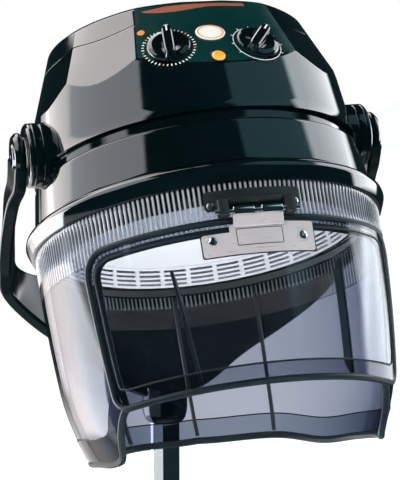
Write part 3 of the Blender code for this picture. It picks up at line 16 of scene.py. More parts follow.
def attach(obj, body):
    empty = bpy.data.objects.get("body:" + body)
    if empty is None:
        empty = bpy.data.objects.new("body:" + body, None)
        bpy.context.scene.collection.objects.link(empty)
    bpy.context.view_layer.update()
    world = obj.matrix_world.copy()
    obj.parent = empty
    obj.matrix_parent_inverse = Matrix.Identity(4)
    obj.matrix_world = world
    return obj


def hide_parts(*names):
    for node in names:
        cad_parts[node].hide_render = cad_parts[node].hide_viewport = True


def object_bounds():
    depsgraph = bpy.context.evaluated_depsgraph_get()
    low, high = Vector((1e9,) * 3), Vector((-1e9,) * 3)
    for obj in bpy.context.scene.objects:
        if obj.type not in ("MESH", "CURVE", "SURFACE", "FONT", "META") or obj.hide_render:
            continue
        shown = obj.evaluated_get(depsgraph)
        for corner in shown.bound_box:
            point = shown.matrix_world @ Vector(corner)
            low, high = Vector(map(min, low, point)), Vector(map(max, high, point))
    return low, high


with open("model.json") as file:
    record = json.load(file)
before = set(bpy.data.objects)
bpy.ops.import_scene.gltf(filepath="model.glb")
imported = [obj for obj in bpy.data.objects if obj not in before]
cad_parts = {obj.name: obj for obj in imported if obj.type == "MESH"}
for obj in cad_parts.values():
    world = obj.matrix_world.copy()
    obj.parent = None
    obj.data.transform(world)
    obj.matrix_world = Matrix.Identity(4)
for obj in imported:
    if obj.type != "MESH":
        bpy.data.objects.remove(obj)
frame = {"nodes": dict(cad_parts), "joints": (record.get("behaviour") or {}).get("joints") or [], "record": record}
CAD_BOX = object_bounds()
JOINTS = {joint["name"]: joint for joint in frame["joints"]}

# The hood's frame, the pivot and the pole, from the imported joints
LIP = Vector(JOINTS["fan_spin"]["pos_m"])
AXIS = Vector(JOINTS["fan_spin"]["axis"]).normalized()
TILT = math.atan2(AXIS.y, AXIS.z)
HOOD = Matrix.Translation(LIP) @ Matrix.Rotation(-TILT, 4, "X")
PIVOT = Vector(JOINTS["hood_tilt"]["pos_m"])
POLE = Vector(JOINTS["swivel"]["pos_m"])
PIN = HOOD.inverted() @ Vector(JOINTS["visor_hinge"]["pos_m"])
TO_PIVOT = Matrix.Translation(PIVOT)
ON_SIDE = Matrix.Rotation(math.pi / 2.0, 4, "Y")

# Casings
WALL = 0.003
RIM_R = 0.2085
RIM_LEVEL = 0.004
RIM_UNDER = -0.0105
RIM_LIP = -0.026
RIM_LIP_R = RIM_R - 0.0305
SEAM_LEVEL = 0.0155
SEAM_R = RIM_R - 0.0124
SEAM_GAP = 0.0003
CONE_TAPER = 0.12
CONE_START = 0.07
BAND_TOP = 0.0645
CASE_BOTTOM = 0.079
NECK_R = 0.1832
NECK_RISE = 0.008
CASE_FLARE = 0.0009
# The crease and the top edge by angle from the front, one list for each facet
CREASE_CORNERS = (0.0, 31.0, 61.5, 118.5, 149.0, 180.0)
CREASE_LEVELS = [
    [(0.0, 0.1330), (8.0, 0.1343), (15.5, 0.1380), (23.3, 0.1450), (31.0, 0.1540)],
    [(31.0, 0.1540), (36.0, 0.1465), (41.0, 0.1415), (46.0, 0.1395), (52.0, 0.1425), (61.5, 0.1570)],
    [(61.5, 0.1570), (69.0, 0.1470), (76.0, 0.1430), (84.0, 0.1455), (95.0, 0.1545), (105.0, 0.1635),
     (118.5, 0.1700)],
    [(118.5, 0.1700), (126.0, 0.1620), (134.0, 0.1590), (142.0, 0.1620), (149.0, 0.1700)],
    [(149.0, 0.1700), (158.0, 0.1630), (168.0, 0.1580), (180.0, 0.1560)],
]
TOP_CORNERS = (0.0, 33.5, 64.0, 117.0, 147.0, 180.0)
TOP_INSETS = [
    [(0.0, 0.0555), (17.0, 0.0537), (33.5, 0.0475)],
    [(33.5, 0.0475), (49.0, 0.0453), (64.0, 0.0410)],
    [(64.0, 0.0410), (77.0, 0.0375), (90.0, 0.0350), (104.0, 0.0340), (117.0, 0.0365)],
    [(117.0, 0.0365), (132.0, 0.0425), (147.0, 0.0425)],
    [(147.0, 0.0425), (164.0, 0.0475), (180.0, 0.0495)],
]
TOP_LEVEL = 0.228
TOP_RISE = 0.008
FACET_STEPS = (12, 8, 20, 8, 12)
CROWN_RINGS = ((0.955, 0.0048), (0.90, 0.0072))
CROWN_CAP = ((0.70, 0.2462), (0.42, 0.2490), (0.10, 0.2500))
CAP_SEAM = (0.674, 0.678, 0.686, 0.690)
SEAM_DEPTH = 0.0006
SEAM_HOLD = 0.014
EDGE_ROUND = 0.0013
ROUND = 192
VENTS = 5
VENT_SIZE = (0.070, 0.1, 0.004)
VENT_PITCH = 0.009
# Radius at which a turned end is closed
TIP = 0.0005

# Dome
DOME_R = RIM_LIP_R - 0.005
DOME_BOTTOM = -0.015
DOME_RISE = 0.130
DOME_WALL = 0.002
DOME_START = 0.12
DOME_END = 88.92
DOME_RINGS = 26
AIR_RING_END = 11.0
SLOT_COLUMNS = 32
SLOT_ROWS = 4
SLOT_WIDE = 0.84
SLOT_TALL = 0.56
SLOT_POINTS = (-1.0, -0.5, 0.0, 0.5, 1.0)
ROW_START = 0.42
ROW_SPARE = 0.6
BAFFLE_GAP = 0.0025
BAFFLE_WALL = 0.0008
BAFFLE_POINTS = 128

# Skirt and visor
SKIRT_WALL = 0.0025
SKIRT_TOP_R = RIM_R - 0.0089
SKIRT_WAIST = -0.050
SKIRT_WAIST_R = SKIRT_TOP_R - 0.001
SKIRT_TAPER = 0.03
SKIRT_CURVE = 0.33
BOWL_TOP = -0.165
BOWL = 1.75
FLUTES = 224
FLUTE_POINTS = 6
FLUTE_DEPTH = 0.0013
FLUTE_TOP = -0.0125
FLUTE_BOTTOM = -0.046
FLUTE_FADE = 0.004
FLUTE_RUN = 0.010
OPENING_HALF = 54.5
OPENING_TOP = -0.0620
OPENING_CORNER = 0.020
OPENING_HOLD = 0.001
EDGE_STOP = 0.004
EDGE_LIFT = 0.0005
CORNER_DROPS = (0.0, 0.0008, 0.0025, 0.0055, 0.0100, 0.0200)
WALL_SHARES = (0.25, 0.45, 0.60, 0.70, 0.80, 0.90, 0.97)
WALL_STEPS = 230
# The skirt's lower edge by angle from the front
HEM_LEVELS = [
    [(0.0, -0.2190), (54.5, -0.2210), (57.5, -0.2270), (62.5, -0.2440), (68.0, -0.2645), (75.0, -0.2665),
     (90.0, -0.2570), (111.0, -0.2450), (129.0, -0.2365), (149.0, -0.2160), (180.0, -0.2080)],
]
HEM_HEIGHT = 0.0285
HEM_STEP = 0.0009
HEM_TURN = 0.0014
HEM_MIDDLE = 0.008
HEM_FOOT = 0.0006
HEM_LINE = 70.0
HEM_LINE_R = 0.0008
EDGE_BEAD = 0.0042
FLAP_WALL = 0.003
FLAP_CLEAR = 0.0018
FLAP_TOP = -0.0525
FLAP_BOTTOM = -0.2235
FLAP_HALF_TOP = 57.5
FLAP_HALF_BOTTOM = 56.0
FLAP_SHOULDER = 0.028
FLAP_CORNER = 0.016
FLAP_BORDER = 0.012
FLAP_HEM = 0.018
BORDER_BEAD = 0.0011
BORDER_TIGHTER = 0.6
BORDER_LIFTS = 0.6
RIB_DEPTH = 0.0115
RIB_WIDTH = 0.0034
RIB_TOP = -0.0945
RIB_FOOT = 0.005
RIB_END = 0.35
RIB_SLOPE = 6.0
RIB_STEPS = 24
RIB_CLEAR = 0.0002
RIBS_AT = {"left": (-28.2, -24.8), "right": (28.0, 29.0)}
STRUTS_AT = (150.0, 180.0, 210.0, 0.0)
STRUT_WIDTH = 0.005
STRUT_DEPTH = 0.004
STRUT_TAPER = 0.8
STRUT_CLEAR = 0.0004
STRUT_HEAD = 0.0008
STRUT_FOOT = 0.006
STRUT_STOP = 0.004
STRUT_ROUND = 0.0008
RIB_ROUND = 0.0010
BAR_TURN = 30.0

# Hinge
HINGE_OUT = -PIN.y
HINGE_LEVEL = PIN.z
BARREL_R = 0.0055
BARREL_HALF = 0.0115
BARREL_AT = 0.0155
PIN_R = 0.003
PIN_HALF = 0.0465
PIN_CLEAR = 0.0003
LUG_SPAN = (0.030, 0.043)
LUG_GAP = 0.0008
LUG_DEEP = 0.0125
LUG_TALL = 0.020
# Places behind and above the pin
LUG_AT = (0.0022, 0.0045)
COVER_AT = (0.0015, 0.0125)
LEAF_AT = (0.0010, -0.0098)
COVER_SIZE = (0.0585, 0.008, 0.0075)
LEAF_SIZE = (0.0555, 0.0026, 0.014)
# Bent plates: half width, top, bottom, thickness, corner radius and middle
BRACKET_PLATE = (15.2, -0.0185, -0.0400, 0.0022, 0.004, 0.0)
LEAF_PLATE = (13.2, -0.0587, -0.0905, 0.0020, 0.0022, 4.2)
WING_PLATE = (5.2, -0.0665, -0.0905, 0.0019, 0.0030, -12.3)
UNDER_PLATE = (17.9, -0.0660, -0.0916, 0.0010, 0.0030, 0.0)
PLATE_COLUMNS = 28
PLATE_ROWS = 10
# Screws: their angles, level, height over the wall, head radius and rise
BRACKET_SCREWS = ((-13.4, 13.4), -0.0345, 0.0026, 0.0040, 0.0030)
LEAF_SCREWS = ((-14.2, 13.6), -0.0740, 0.0020, 0.0046, 0.0034)
LEAF_LEAN = 0.22
# The pressed frame, whose dark beads are painted shade lines along its edges: half width, top, bottom
PRESSED = (7.0, -0.0640, -0.0815)
PRESSED_LIFT = 0.0019
PRESSED_SHADE_BEAD = 0.00045
ON_SKIRT = 0.0004
ON_FLAP = 0.0003
UNDER_LEAF = 0.0001

# Controls
PANEL_SPAN = (0.014, 0.986)
PANEL_RISE = (0.016, 0.982)
PANEL_LIFT = 0.0007
PANEL_THICK = 0.0012
PANEL_FACE = PANEL_LIFT + PANEL_THICK
PRINT = 0.00012
PRINT_LIFT = 0.00005
PANEL_MIDDLE = 0.47
STRIPE_SPAN = (0.055, 0.80)
STRIPE_RISE = (0.905, 0.955)
STRIPE_SAG = 0.055
STRIPE_SWELL = 1.6
STRIPE_POWER = 0.7
STRIPE_LEAD = 0.22
KNOB_R = 0.0245
KNOB_HEIGHT = 0.0135
KNOB_LIFT = 0.0011
BAR_HALF = 0.0058
DIALS = {"timer": (PANEL_MIDDLE - 0.268, 0.234), "heat": (PANEL_MIDDLE + 0.268, 0.234)}
TIMER_TICKS = 40
TIMER_ACCENTS = (5, 11, 22, 29, 34)
TIMER_RING = 0.0288
TIMER_WIDE = 0.0014
TIMER_TALL = 0.0028
TIMER_FIFTH = 0.0036
HEAT_TICKS = 9
HEAT_START = -120.0
HEAT_STEP = 30.0
HEAT_LINE = (0.0272, 0.0281)
HEAT_RING = 0.0296
HEAT_TICK = (0.0010, 0.0026)
DOT = (0.047, 0.50)
DOT_R = 0.0042
LAMP = (PANEL_MIDDLE, 0.075)
BADGE = (PANEL_MIDDLE, 0.46)
BADGE_HALF = (0.0168, 0.0128)

# Fork
FORK_THICK = 0.012
FORK_EYE = 0.027
EYE_ROUND = 0.004
BOSS_R = 0.037
BOSS_INNER = RIM_R - 0.0600
BOSS_OUTER = RIM_R - 0.0055
BOSS_GROOVE = 0.0007
FORK_MID = BOSS_OUTER + 0.0022 + FORK_THICK / 2.0
FORK_FLARE = 0.009
WEB_SHARE = 1.25
WEB_ROUND = 0.0042
WEB_TURN = 50.0
HUB_R = 0.029
HUB_LOW = -0.400
HUB_HEIGHT = 0.050
POLE_BEHIND = POLE.y - PIVOT.y
# Rows at the eye: how far out of the arm, then (y, z) of the rear and of the front edge from the pivot
FORK_HEAD = [(0.0, (FORK_EYE, -0.006), (-FORK_EYE, -0.006)), (0.001, (0.0310, -0.034), (-0.0160, -0.036))]
# Rows down the arm: share of the full width, lean of the rear edge, then its two edges as above
FORK_SWEEP = [
    (0.985, 0.985, (0.045, -0.055), (0.006, -0.060)),
    (1.00, 0.955, (0.075, -0.095), (0.034, -0.105)),
    (1.00, 0.94, (0.100, -0.135), (0.060, -0.155)),
    (0.96, 0.95, (0.125, -0.165), (0.088, -0.195)),
    (0.80, 1.0, (0.155, -0.190), (0.095, -0.235)),
    (0.62, 1.0, (0.180, -0.205), (0.108, -0.270)),
    (0.42, 1.0, (0.198, -0.215), (0.128, -0.308)),
    (0.22, 1.0, (0.206, -0.222), (0.142, -0.350)),
]
FORK_BACK = (0.208, -0.224)

# CAD pieces shown as they are
WELD = 0.00001
CAD_ROUND = 0.0008
CAD_TURN = 35.0

# The photograph's camera
VIEW_TURN = math.radians(15.5)
VIEW_DOWN = math.radians(16.1)
VIEW_DISTANCE = 2.20
VIEW_LENS = 142.87
VIEW_SENSOR = 36.0
AIM_ACROSS = -0.00693
AIM_UP = -0.00993

# Stage and light
FLOOR_HALF = 6.0
FLOOR_LIFT = 0.45
FLOOR_TONES = ((0.90, 0.90, 0.90), (0.94, 0.94, 0.94))
FLOOR_ROUGH = 0.85
FLOOR_CLOUD = 3.0
AMBIENT = 0.55
AMBIENT_TONE = (0.97, 0.985, 1.0, 1.0)
GLOW_LEAST = 0.028
GLOW_TONE = (0.42, 0.86, 1.0, 1.0)
WHITE_LIGHT = (1.0, 1.0, 1.0, 1.0)
CENTRE = (0.0, -0.05, 1.25)
# Lamps: place, aim, size and power
LAMPS = {
    "key": ((-1.6, -1.5, 2.6), CENTRE, (1.6, 1.6), 55.0),
    "fill": ((1.9, -0.9, 1.9), CENTRE, (1.4, 1.8), 26.0),
    "under": ((0.05, -1.15, 0.45), (0.0, -0.05, 1.30), (1.0, 0.7), 25.0),
}
# Bright patches that gloss mirrors: range of azimuth and of height, strength, fading widths
PATCHES = {
    "left": ((-134.0, -63.0), (24.0, 56.0), "bright", (2.5, 4.0)),
    "side": ((-134.0, -90.0), (-2.0, 20.0), "bright", (2.5, 4.0)),
    "low": ((-144.0, -88.0), (-31.0, -4.0), "strong", (1.5, 3.0)),
    "deep": ((-141.0, -88.0), (-56.0, -36.0), "weak", (1.5, 5.0)),
    "edge": ((-150.0, -136.0), (-22.0, -13.0), 2.0, (1.5, 3.0)),
    "front": ((-50.0, 50.0), (-80.0, -52.0), 0.8, (10.0, 8.0)),
    "lip": ((-170.0, -137.0), (24.0, 52.0), 4.0, (4.0, 4.0)),
    "pole": ((-131.0, -21.0), (-34.0, -21.0), 0.9, (2.0, 2.5)),
    "right": ((111.0, 144.0), (5.0, 36.0), 3.9, (3.5, 4.0)),
    "right_low": ((108.0, 136.0), (-14.0, 4.0), 6.0, (4.0, 4.0)),
    "bounce": ((-178.0, -140.0), (-60.0, -28.0), 1.4, (6.0, 6.0)),
}
GLOW = ((56.0, 118.0), (32.0, 70.0), 0.55, (4.0, 5.0))
# Strengths that vary: more over a range of azimuth, and ramps over azimuth or, for the ground, height
BRIGHT_LEAST = 2.7
BRIGHT_MORE = 1.8
BRIGHT_SPAN = (-152.0, -111.0, 2.0, 3.0)
STRONG = (1.5, 12.5, -141.0, -108.0)
WEAK_SHARE = 0.32
GROUND = (0.22, 0.0, -55.0, -38.0)
# Warm light from the left of this azimuth, cool light from elsewhere
TONE_SPAN = (-114.0, -109.0)
TONES = ((1.0, 0.955, 0.945), (0.90, 0.945, 1.0))


# Noise of the finishes: scale and detail
CLOUD = (9.0, 5.0)
SPOTS = (55.0, 6.0)
GRAIN_DETAIL = 3.0
SMEAR = (14.0, 5.0)
DRAWN = (240.0, 2.0)
HAZE_CLOUD = (12.0, 5.0)
HAZE_SPOTS = (30.0, 5.0)
SMOKE_SPOTS = (40.0, 5.0)
NOISE_ROUGH = 0.55
# Smoked plastic: colours of its haze and of the painted highlight on the flutes' crests, how they vary, and the
# tint that each face of a wall takes
HAZED = ((0.05, 0.075, 0.09), (0.08, 0.11, 0.13))
CREST_HIGHLIGHT = ((0.42, 0.44, 0.48), (0.52, 0.54, 0.58))
HAZE_ROUGH = 0.35
LEAST_SHARE = 0.6
MOST_ROUGH = 1.5
FACE_SHARE = 0.5
GRAZING_POWER = 5.0
# Painted highlight on the flutes' crests: its place across a flute, and where it fades at the back and below there
CREST = (0.22, 0.36)
BACK_FADE = (0.06, 0.12)
BACK_LOW = (-0.037, -0.034)
BACK_SHARE = 0.75


# Materials


def shader_of(name):
    """A new material with its node tree and its Principled node."""
    made = bpy.data.materials.new(name)
    made.use_nodes = True
    return made, made.node_tree, made.node_tree.nodes["Principled BSDF"]


def fill(tree, node, inputs):
    """Feeds a node's inputs with plain values or with the outputs of other nodes."""
    for key, value in inputs.items():
        if isinstance(value, bpy.types.NodeSocket):
            tree.links.new(value, node.inputs[key])
        else:
            node.inputs[key].default_value = value


def add(tree, kind, inputs, **settings):
    """A new node with its settings and its inputs."""
    node = tree.nodes.new(kind)
    for key, value in settings.items():
        setattr(node, key, value)
    fill(tree, node, inputs)
    return node


def math_node(tree, operation, first, second=None):
    values = (first,) if second is None else (first, second)
    return add(tree, "ShaderNodeMath", dict(enumerate(values)), operation=operation).outputs[0]


def noise_of(tree, scale, detail=4.0, stretch=None):
    """Noise over the object's own coordinates, drawn out along an axis where stretch is given."""
    source = add(tree, "ShaderNodeTexCoord", {}).outputs["Object"]
    if stretch:
        source = add(tree, "ShaderNodeMapping", {"Scale": stretch, "Vector": source}).outputs["Vector"]
    inputs = {"Scale": scale, "Detail": detail, "Roughness": NOISE_ROUGH, "Vector": source}
    return add(tree, "ShaderNodeTexNoise", inputs).outputs["Fac"]


def ranged(tree, source, low, high, start=0.3, end=0.7):
    """A value carried from one range to another and held at its ends."""
    inputs = {"Value": source, "From Min": start, "From Max": end, "To Min": low, "To Max": high}
    return add(tree, "ShaderNodeMapRange", inputs).outputs["Result"]


def blended(tree, source, first, second, start=0.35, end=0.65):
    """A ramp between two colours."""
    node = add(tree, "ShaderNodeValToRGB", {"Fac": source})
    for element, place, colour in zip(node.color_ramp.elements, (start, end), (first, second)):
        element.position = place
        element.color = (*colour, 1.0)
    return node.outputs["Color"]


def bump_of(tree, source, distance):
    inputs = {"Strength": 1.0, "Distance": distance, "Height": source}
    return add(tree, "ShaderNodeBump", inputs).outputs["Normal"]


def mix(tree, share, first, second):
    """A blend of two shaders."""
    return add(tree, "ShaderNodeMixShader", {"Fac": share, 1: first.outputs[0], 2: second.outputs[0]})


def plastic(name, dark, light, rough, grain, bump, coat=0.0, ior=1.5):
    """Moulded plastic: cloudy colour, uneven gloss and a faint surface grain."""
    made, tree, shader = shader_of(name)
    fill(tree, shader, {
        "Base Color": blended(tree, noise_of(tree, *CLOUD), dark, light),
        "Roughness": ranged(tree, noise_of(tree, *SPOTS), *rough),
        "Normal": bump_of(tree, noise_of(tree, grain, GRAIN_DETAIL), bump),
        "Coat Weight": coat,
        "IOR": ior,
    })
    return made


def metal(name, dark, light, rough, stretch, bump, share=1.0):
    """Plated or brushed metal with fine drawn lines and light smears."""
    made, tree, shader = shader_of(name)
    lines = noise_of(tree, *DRAWN, stretch)
    fill(tree, shader, {
        "Base Color": blended(tree, noise_of(tree, *SMEAR), dark, light),
        "Roughness": ranged(tree, lines, *rough),
        "Normal": bump_of(tree, lines, bump),
        "Metallic": share,
    })
    return made


def smoked(name, tint, haze, rough=0.03, ior=1.49, grazing=0.16, lines=0):
    """Smoked clear plastic: what is behind shows tinted, darker where the wall is seen edge on.

    lines gives the number of moulded flutes round the hood, whose crests carry a painted highlight in a pale
    colour.
    """
    made, tree, body = shader_of(name)
    facing = add(tree, "ShaderNodeLayerWeight", {"Blend": 0.5}).outputs["Facing"]
    cosine = math_node(tree, "SUBTRACT", 1.0, facing)
    path = math_node(tree, "DIVIDE", FACE_SHARE, math_node(tree, "MAXIMUM", cosine, grazing))
    tints = zip(("Red", "Green", "Blue"), tint)
    passed = {channel: math_node(tree, "POWER", share, path) for channel, share in tints}
    colour = add(tree, "ShaderNodeCombineColor", passed).outputs["Color"]
    clear = add(tree, "ShaderNodeBsdfTransparent", {"Color": colour})
    # The pale crest colour is a painted highlight; the haze colour is the plastic's own
    cloudy = blended(tree, noise_of(tree, *HAZE_CLOUD), *(CREST_HIGHLIGHT if lines else HAZED))
    fill(tree, body, {"Base Color": cloudy, "Roughness": HAZE_ROUGH})
    amount = ranged(tree, noise_of(tree, *HAZE_SPOTS), haze * LEAST_SHARE, haze)
    # Painted highlight: on fluted walls the pale colour is laid only on the flutes' crests
    if lines:
        amount = math_node(tree, "MULTIPLY", amount, crests(tree, lines))
    hazed = mix(tree, amount, clear, body)
    uneven = ranged(tree, noise_of(tree, *SMOKE_SPOTS), rough * LEAST_SHARE, rough * MOST_ROUGH)
    gloss = add(tree, "ShaderNodeBsdfGlossy", {"Roughness": uneven})
    least = ((ior - 1.0) / (ior + 1.0)) ** 2
    rise = math_node(tree, "MULTIPLY", math_node(tree, "POWER", facing, GRAZING_POWER), 1.0 - least)
    final = mix(tree, math_node(tree, "ADD", rise, least), hazed, gloss)
    fill(tree, tree.nodes["Material Output"], {"Surface": final.outputs[0]})
    return made


def crests(tree, lines):
    """Mask of the painted highlight: one on the crest of each flute, nothing in the grooves, by the angle round
    the hood's axis.
    """
    place = add(tree, "ShaderNodeTexCoord", {}).outputs["Object"]
    inputs = {"Location": LIP, "Rotation": (-TILT, 0.0, 0.0), "Vector": place}
    hood = add(tree, "ShaderNodeMapping", inputs, vector_type="TEXTURE").outputs["Vector"]
    x, y, z = add(tree, "ShaderNodeSeparateXYZ", {"Vector": hood}).outputs
    turn = math_node(tree, "ARCTAN2", x, math_node(tree, "MULTIPLY", y, -1.0))
    phase = math_node(tree, "FRACT", math_node(tree, "MULTIPLY", turn, lines / (2.0 * math.pi)))
    crest = math_node(tree, "ABSOLUTE", math_node(tree, "SUBTRACT", phase, 0.5))
    crest = ranged(tree, crest, 0.0, 1.0, *CREST)
    front = ranged(tree, y, 1.0, 0.0, *BACK_FADE)
    upper = ranged(tree, z, 0.0, BACK_SHARE, *BACK_LOW)
    return math_node(tree, "MULTIPLY", crest, math_node(tree, "MAXIMUM", front, upper))


BLACK = plastic("black_gloss", (0.0004, 0.0026, 0.0034), (0.0010, 0.0044, 0.0054), (0.035, 0.075), 90.0,
                0.00002, coat=0.35, ior=1.52)
FORK = plastic("fork_black", (0.0006, 0.0032, 0.0042), (0.0012, 0.0052, 0.0064), (0.10, 0.18), 90.0,
               0.00002, ior=1.24)
SATIN = plastic("black_satin", (0.008, 0.010, 0.011), (0.014, 0.017, 0.018), (0.30, 0.45), 700.0, 0.00006)
STAND = plastic("stand_black", (0.006, 0.008, 0.009), (0.012, 0.014, 0.015), (0.12, 0.24), 500.0, 0.00004)
WHITE = plastic("white_plastic", (0.80, 0.81, 0.83), (0.87, 0.875, 0.885), (0.28, 0.42), 400.0, 0.00003)
BAFFLE = plastic("baffle_grey", (0.36, 0.37, 0.40), (0.42, 0.43, 0.46), (0.35, 0.5), 400.0, 0.00003)
PANEL = plastic("panel_print", (0.001, 0.022, 0.021), (0.0016, 0.030, 0.029), (0.16, 0.26), 900.0, 0.00003)
NYLON = plastic("nylon", (0.66, 0.64, 0.58), (0.74, 0.72, 0.67), (0.42, 0.56), 300.0, 0.00004)
MICA = plastic("mica_board", (0.50, 0.42, 0.30), (0.66, 0.58, 0.45), (0.55, 0.8), 160.0, 0.0001)
TYRE = plastic("castor_tread", (0.022, 0.022, 0.024), (0.040, 0.040, 0.043), (0.48, 0.66), 420.0, 0.00012)
CREAM = plastic("badge_cream", (0.80, 0.77, 0.70), (0.88, 0.85, 0.79), (0.16, 0.26), 300.0, 0.00002, coat=0.5)
ORANGE = plastic("orange_print", (0.82, 0.20, 0.025), (0.92, 0.30, 0.04), (0.25, 0.4), 300.0, 0.00002)
LENS = plastic("orange_lens", (0.95, 0.30, 0.02), (1.0, 0.40, 0.05), (0.06, 0.14), 120.0, 0.00003, coat=0.6)
STRIPE = plastic("stripe_print", (0.27, 0.072, 0.036), (0.36, 0.10, 0.05), (0.3, 0.45), 500.0, 0.00002)
TICK = plastic("tick_print", (0.74, 0.78, 0.78), (0.86, 0.88, 0.88), (0.3, 0.45), 500.0, 0.00002)
EDGE = plastic("smoke_edge", (0.004, 0.009, 0.012), (0.009, 0.016, 0.020), (0.36, 0.48), 300.0,
               0.00002, ior=1.28)
CHROME = metal("chrome_plate", (0.70, 0.71, 0.73), (0.80, 0.81, 0.82), (0.03, 0.09), (1.0, 1.0, 0.06),
               0.000004)
ALLOY = metal("hinge_alloy", (0.37, 0.355, 0.37), (0.41, 0.395, 0.41), (0.27, 0.31), (0.08, 1.0, 1.0),
              0.000002, share=0.25)
STEEL = metal("zinc_steel", (0.40, 0.41, 0.42), (0.55, 0.56, 0.57), (0.28, 0.45), (1.0, 1.0, 0.2), 0.00001)
SMOKE = smoked("smoke", (0.59, 0.55, 0.62), 0.008, grazing=0.25)
HEM = smoked("smoke_hem", (0.15, 0.17, 0.22), 0.012, ior=1.12, grazing=0.30)
BAND = smoked("smoke_band", (0.40, 0.43, 0.50), 0.01, grazing=0.30)
INSIDE = smoked("smoke_inside", (0.27, 0.335, 0.42), 0.004, rough=0.05, ior=1.09, grazing=0.40)
CLEAR = smoked("smoke_visor", (0.82, 0.845, 0.885), 0.003, grazing=0.30)
# Painted highlight: the pale stripes on the flutes' crests stand for the softbox's reflection in them
FLUTED = smoked("smoke_fluted", (0.26, 0.30, 0.36), 0.62, lines=FLUTES)


# Mesh tools: a mesh is a pair of lists, points and faces


def in_box(point):
    """The nearest place to a point inside the CAD's box."""
    return tuple(min(max(c, low), high) for c, low, high in zip(point, *CAD_BOX))


def placed(name, data):
    """A new object in the scene that holds the given data."""
    obj = bpy.data.objects.new(name, data)
    bpy.context.scene.collection.objects.link(obj)
    return obj


def piece(name, shape, material, body, nodes=(), place=HOOD, sharp=35.0, groups=()):
    """A mesh object that rides on a body, takes a material and may stand for CAD nodes.

    groups gives extra materials with the numbers of their faces.
    """
    verts, faces = shape
    mesh = bpy.data.meshes.new(name)
    mesh.from_pydata([in_box(place @ Vector(v)) for v in verts], [], faces)
    mesh.materials.append(material)
    for index, (extra, chosen) in enumerate(groups, start=1):
        mesh.materials.append(extra)
        for face in chosen:
            mesh.polygons[face].material_index = index
    made = bmesh.new()
    made.from_mesh(mesh)
    bmesh.ops.recalc_face_normals(made, faces=made.faces)
    made.to_mesh(mesh)
    made.free()
    mesh.shade_smooth()
    mesh.set_sharp_from_angle(angle=math.radians(sharp))
    obj = placed(name, mesh)
    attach(obj, body)
    if nodes:
        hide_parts(*nodes)
    return obj


def loft(rings, around=True, closed=False, caps=False):
    """A mesh between successive rings of points."""
    count, total = len(rings[0]), len(rings)
    faces = []
    for k in range(total if closed else total - 1):
        low = k * count
        high = ((k + 1) % total) * count
        for i in range(count if around else count - 1):
            j = (i + 1) % count
            faces.append((low + i, low + j, high + j, high + i))
    if caps:
        faces.append(tuple(range(count))[::-1])
        faces.append(tuple(range((total - 1) * count, total * count)))
    return [p for ring in rings for p in ring], faces


def plate_between(outer, inner):
    """A plate between two grids of points, closed all round, and the numbers of its border's points."""
    rows, count = len(outer), len(outer[0])
    layer = rows * count
    faces = []
    for k in range(rows - 1):
        for i in range(count - 1):
            a = k * count + i
            d = a + count
            faces += [(a, a + 1, d + 1, d), (a + layer, d + layer, d + 1 + layer, a + 1 + layer)]
    border = list(range(count)) + [(k + 1) * count - 1 for k in range(1, rows)]
    border += [layer - 1 - i for i in range(1, count)] + [k * count for k in range(rows - 2, 0, -1)]
    faces += [(a, a + layer, b + layer, b) for a, b in zip(border, border[1:] + border[:1])]
    return ([p for ring in outer + inner for p in ring], faces), border


def merged(parts):
    """Several meshes as one, with the number of each one's first face and the number of all faces."""
    verts, faces, starts = [], [], [0]
    for some_verts, some_faces in parts:
        base = len(verts)
        verts += list(some_verts)
        faces += [tuple(i + base for i in face) for face in some_faces]
        starts.append(len(faces))
    return (verts, faces), starts


def rounded(outline, radius, steps=3, closed=True):
    """An outline of 2-D points with each corner turned into a short curve."""
    points = [Vector(p) for p in outline]
    made = []
    count = len(points)
    for i, point in enumerate(points):
        if not closed and i in (0, count - 1):
            made.append(tuple(point))
            continue
        before = points[i - 1] - point
        after = points[(i + 1) % count] - point
        start = point + before.normalized() * min(radius, before.length * 0.45)
        end = point + after.normalized() * min(radius, after.length * 0.45)
        for t in spread(0.0, 1.0, steps):
            made.append(tuple(start * (1 - t) ** 2 + point * 2 * t * (1 - t) + end * t * t))
    return made


def ring_of(radius, level, count):
    turns = [2.0 * math.pi / count * i for i in range(count)]
    return [(radius * math.cos(t), radius * math.sin(t), level) for t in turns]


def held(outline, long=0.012, near=0.0012):
    """The outline with points added near the ends of its long stretches, so that they shade as straight."""
    points = []
    for (r1, z1), (r2, z2) in zip(outline, outline[1:] + outline[:1]):
        points.append((r1, z1))
        size = math.hypot(r2 - r1, z2 - z1)
        if size > long:
            for share in (near / size, 1.0 - near / size):
                points.append((r1 + (r2 - r1) * share, z1 + (z2 - z1) * share))
    return points


def lathe(outline, count=ROUND):
    """A closed outline of (radius, level) points turned about Z."""
    return loft([ring_of(r, z, count) for r, z in outline], closed=True)


def rod(outline, count):
    """An open outline from the lower to the upper end, turned about Z and capped."""
    return loft([ring_of(r, z, count) for r, z in outline], caps=True)


def turned_to(mesh, matrix):
    verts, faces = mesh
    return [matrix @ Vector(v) for v in verts], faces


def cuboid(size, centre=(0.0, 0.0, 0.0), edge=0.0006):
    """A box with softened corners, as a stack of rounded rectangles along Z."""
    x, y, z = (s / 2.0 for s in size)
    rings = []
    for level, inset in ((-z, edge), (-z + edge, 0.0), (z - edge, 0.0), (z, edge)):
        wide, deep = x - inset, y - inset
        ring = rounded([(-wide, -deep), (wide, -deep), (wide, deep), (-wide, deep)], edge * 2.0, 2)
        rings.append([(px + centre[0], py + centre[1], level + centre[2]) for px, py in ring])
    return loft(rings, caps=True)


